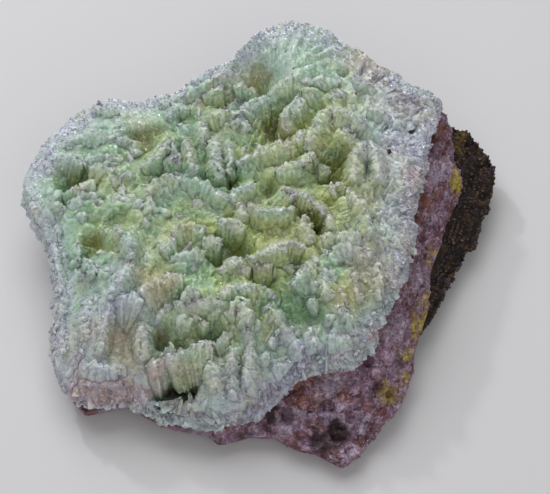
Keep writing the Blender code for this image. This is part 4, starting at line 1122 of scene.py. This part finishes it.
def basalt_material():
    made, tree, shader = new_material("basalt")
    place = add(tree, "TexCoord").outputs["Object"]
    stain = add(tree, "Attribute", attribute_name="stain").outputs["Fac"]
    cloud = add(tree, "TexNoise", {"Vector": place, "Scale": 240, "Detail": 4, "Roughness": 0.6}).outputs["Fac"]
    grain = add(tree, "TexNoise", {"Vector": place, "Scale": 800, "Detail": 7, "Roughness": 0.8}).outputs["Fac"]
    colour = blend(tree, shifted(tree, cloud, 0.35, 0.65), (0.005, 0.003, 0.002, 1), (0.034, 0.018, 0.012, 1))
    colour = blend(tree, shifted(tree, grain, 0.52, 0.66, 0.0, 0.8), colour, (0.10, 0.062, 0.055, 1))
    rusty = shifted(tree, maths(tree, "ADD", stain, maths(tree, "MULTIPLY", grain, 1.1)), 0.85, 1.4, 0.0, 0.8)
    tint = blend(tree, shifted(tree, cloud, 0.4, 0.6), (0.17, 0.095, 0.012, 1), (0.36, 0.25, 0.02, 1))
    colour = blend(tree, rusty, colour, tint)
    cells = add(tree, "TexVoronoi", {"Vector": place, "Scale": 1000})
    mixed = add(tree, "SeparateColor", {"Color": cells.outputs["Color"]}).outputs
    colour = blend(tree, shifted(tree, mixed["Red"], 0.72, 0.8, 0.0, 0.6), colour, (0.08, 0.05, 0.06, 1))
    colour = blend(tree, shifted(tree, mixed["Blue"], 0.88, 0.94, 0.0, 0.5), colour, (0.15, 0.085, 0.02, 1))
    colour, edges = speckled(tree, place, colour, 1900)
    height = maths(tree, "SUBTRACT", grain, maths(tree, "MULTIPLY", cells.outputs["Distance"], 0.8))
    bump = add(tree, "Bump", {"Height": height, "Strength": 1.0, "Distance": 0.0016})
    tree.links.new(colour, shader.inputs["Base Color"])
    tree.links.new(bump.outputs["Normal"], shader.inputs["Normal"])
    shader.inputs["Roughness"].default_value = 0.8
    return made


def basalt():
    turns, roof, side, sole = 480, 46, 40, 8
    angle = np.linspace(0, 2 * math.pi, turns, endpoint=False)[None, :]
    radius, rim = reach(BASALT_EDGE, angle)
    cover = reach(ALTERED_EDGE, angle)[0]
    away = 0.95 * radius * (np.arange(1, roof + 1) / roof)[:, None]
    x, y = around_heart(angle, away)
    bare = np.maximum(0, away - cover) / np.maximum(radius - cover, 1)
    rough = 1.3 * chips(x, y, 0, 3, 51) + 0.8 * noise(x, y, 0, 1.6, 52) + 0.5 * noise(x, y, 0, 0.8, 57)
    z = basalt_height(x, y) * (1 - bare) + rim * bare - 0.8 * np.minimum(1, 6 * bare) + rough * np.minimum(1, 3 * bare)
    top = np.stack([x, y, z], axis=-1)
    part = (np.arange(1, side + 1) / side)[:, None]
    out = radius * (0.95 + 0.05 * np.sin(math.pi * np.minimum(1, part + 0.3)))
    z = np.where(radius > cover, z[-1:], basalt_height(*around_heart(angle, out))) * (1 - part)
    x, y = around_heart(angle, out)
    calm = np.sin(math.pi * part) ** 0.6
    out = out + calm * (1.1 * chips(x, y, z, 5, 53) + 0.6 * chips(x, y, z, 1.8, 54) + 0.4 * noise(x, y, z, 0.9, 55) - 1.2)
    x, y = around_heart(angle, out)
    middle = np.stack([x, y, np.broadcast_to(z, x.shape)], axis=-1)
    back = 1 - (np.arange(1, sole + 1) / (sole + 1))[:, None]
    x, y = around_heart(angle, 0.93 * radius * back)
    under = np.stack([x, y, 0 * x], axis=-1)
    grid = np.concatenate([top, middle, under])
    points = capped(grid)
    x, y = seen(*points.T)
    edge = np.zeros(len(points))
    edge[: top[..., 0].size] = (ramp(0.75, 1.0, np.broadcast_to(bare, top[..., 0].shape))).ravel()
    x = x + 1.6 * noise(*points.T, 3.4, 58) + 0.8 * noise(*points.T, 1.2, 59)
    y = y + 1.6 * noise(*points.T, 3.4, 60) + 0.8 * noise(*points.T, 1.2, 61)
    values = {"stain": np.clip(blobs(x, y, STAINS) + 0.45 * edge + 0.3 * noise(*points.T, 2.5, 56), 0, 1)}
    out, height = np.hypot(points[:, 0] - HEART[0], points[:, 1] - HEART[1]), points[:, 2]
    cover = reach(ALTERED_EDGE, np.arctan2(points[:, 1] - HEART[1], points[:, 0] - HEART[0]))[0]
    values["broken"] = (out > cover + 0.6) * (height > 1.2) * (0.4 + 0.6 * (noise(*points.T, 3, 62) > 0))
    return piece("basalt", points, tube(len(grid), turns), basalt_material(), values)


dark_rock = basalt()
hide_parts("basalt_matrix")


def basalt_grains(host, count, seed):
    """Grains of the broken basalt, purple-brown to ochre."""
    points, faces, tone = grown_on(host, count, "broken", 0.6, seed)
    made, tree, shader = new_material("basalt grains")
    tint = add(tree, "Attribute", attribute_name="tone").outputs["Fac"]
    colour = blend(tree, shifted(tree, tint, 0.3, 0.7), (0.008, 0.005, 0.005, 1), (0.05, 0.03, 0.03, 1))
    colour = blend(tree, shifted(tree, tint, 0.9, 1.05), colour, (0.15, 0.085, 0.02, 1))
    tree.links.new(colour, shader.inputs["Base Color"])
    shader.inputs["Roughness"].default_value = 0.5
    grains = piece("basalt_grains", points, faces.tolist(), made, {"tone": tone}, smooth=False)
    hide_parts("basalt_matrix")


basalt_grains(dark_rock, 3500, 91)

# Floor, light and camera


def floor():
    mesh = bpy.data.meshes.new("floor")
    mesh.from_pydata([(-2, -2, 0), (2, -2, 0), (2, 2, 0), (-2, 2, 0)], [], [(0, 1, 2, 3)])
    made = bpy.data.objects.new("floor", mesh)
    bpy.context.scene.collection.objects.link(made)
    paint, tree, shader = new_material("floor")
    shader.inputs["Base Color"].default_value = (0.62, 0.62, 0.63, 1)
    shader.inputs["Roughness"].default_value = 0.9
    mesh.materials.append(paint)


def lamp(name, place, size, power, colour):
    light = bpy.data.lights.new(name, "AREA")
    light.size = size
    light.energy = power
    light.color = colour
    made = bpy.data.objects.new(name, light)
    made.location = place
    made.rotation_euler = (-Vector(place)).to_track_quat("-Z", "Y").to_euler()
    bpy.context.scene.collection.objects.link(made)


floor()
lamp("key", (-0.1, 0.24, 0.52), 0.5, 2.2, (0.99, 0.99, 1.0))
lamp("spark", (-0.3, 0.42, 0.45), 0.04, 0.8, (1.0, 1.0, 1.0))
lamp("fill", (0.12, -0.5, 0.45), 0.7, 1.5, (1.0, 0.97, 0.94))
world = bpy.data.worlds.new("studio")
world.use_nodes = True
world.node_tree.nodes["Background"].inputs["Color"].default_value = (0.88, 0.88, 0.9, 1)
world.node_tree.nodes["Background"].inputs["Strength"].default_value = 0.28
bpy.context.scene.world = world
bpy.context.scene.view_settings.view_transform = "Standard"

camera = bpy.data.cameras.new("camera")
camera.lens = 120
camera.sensor_width = 36
camera_object = bpy.data.objects.new("camera", camera)
target = Vector((1.6, -1.4, 15.0)) * MM
camera_object.location = Vector((1.6, -216.0, 345.4)) * MM
camera_object.rotation_euler = (target - camera_object.location).to_track_quat("-Z", "Y").to_euler()
bpy.context.scene.collection.objects.link(camera_object)
bpy.context.scene.camera = camera_object
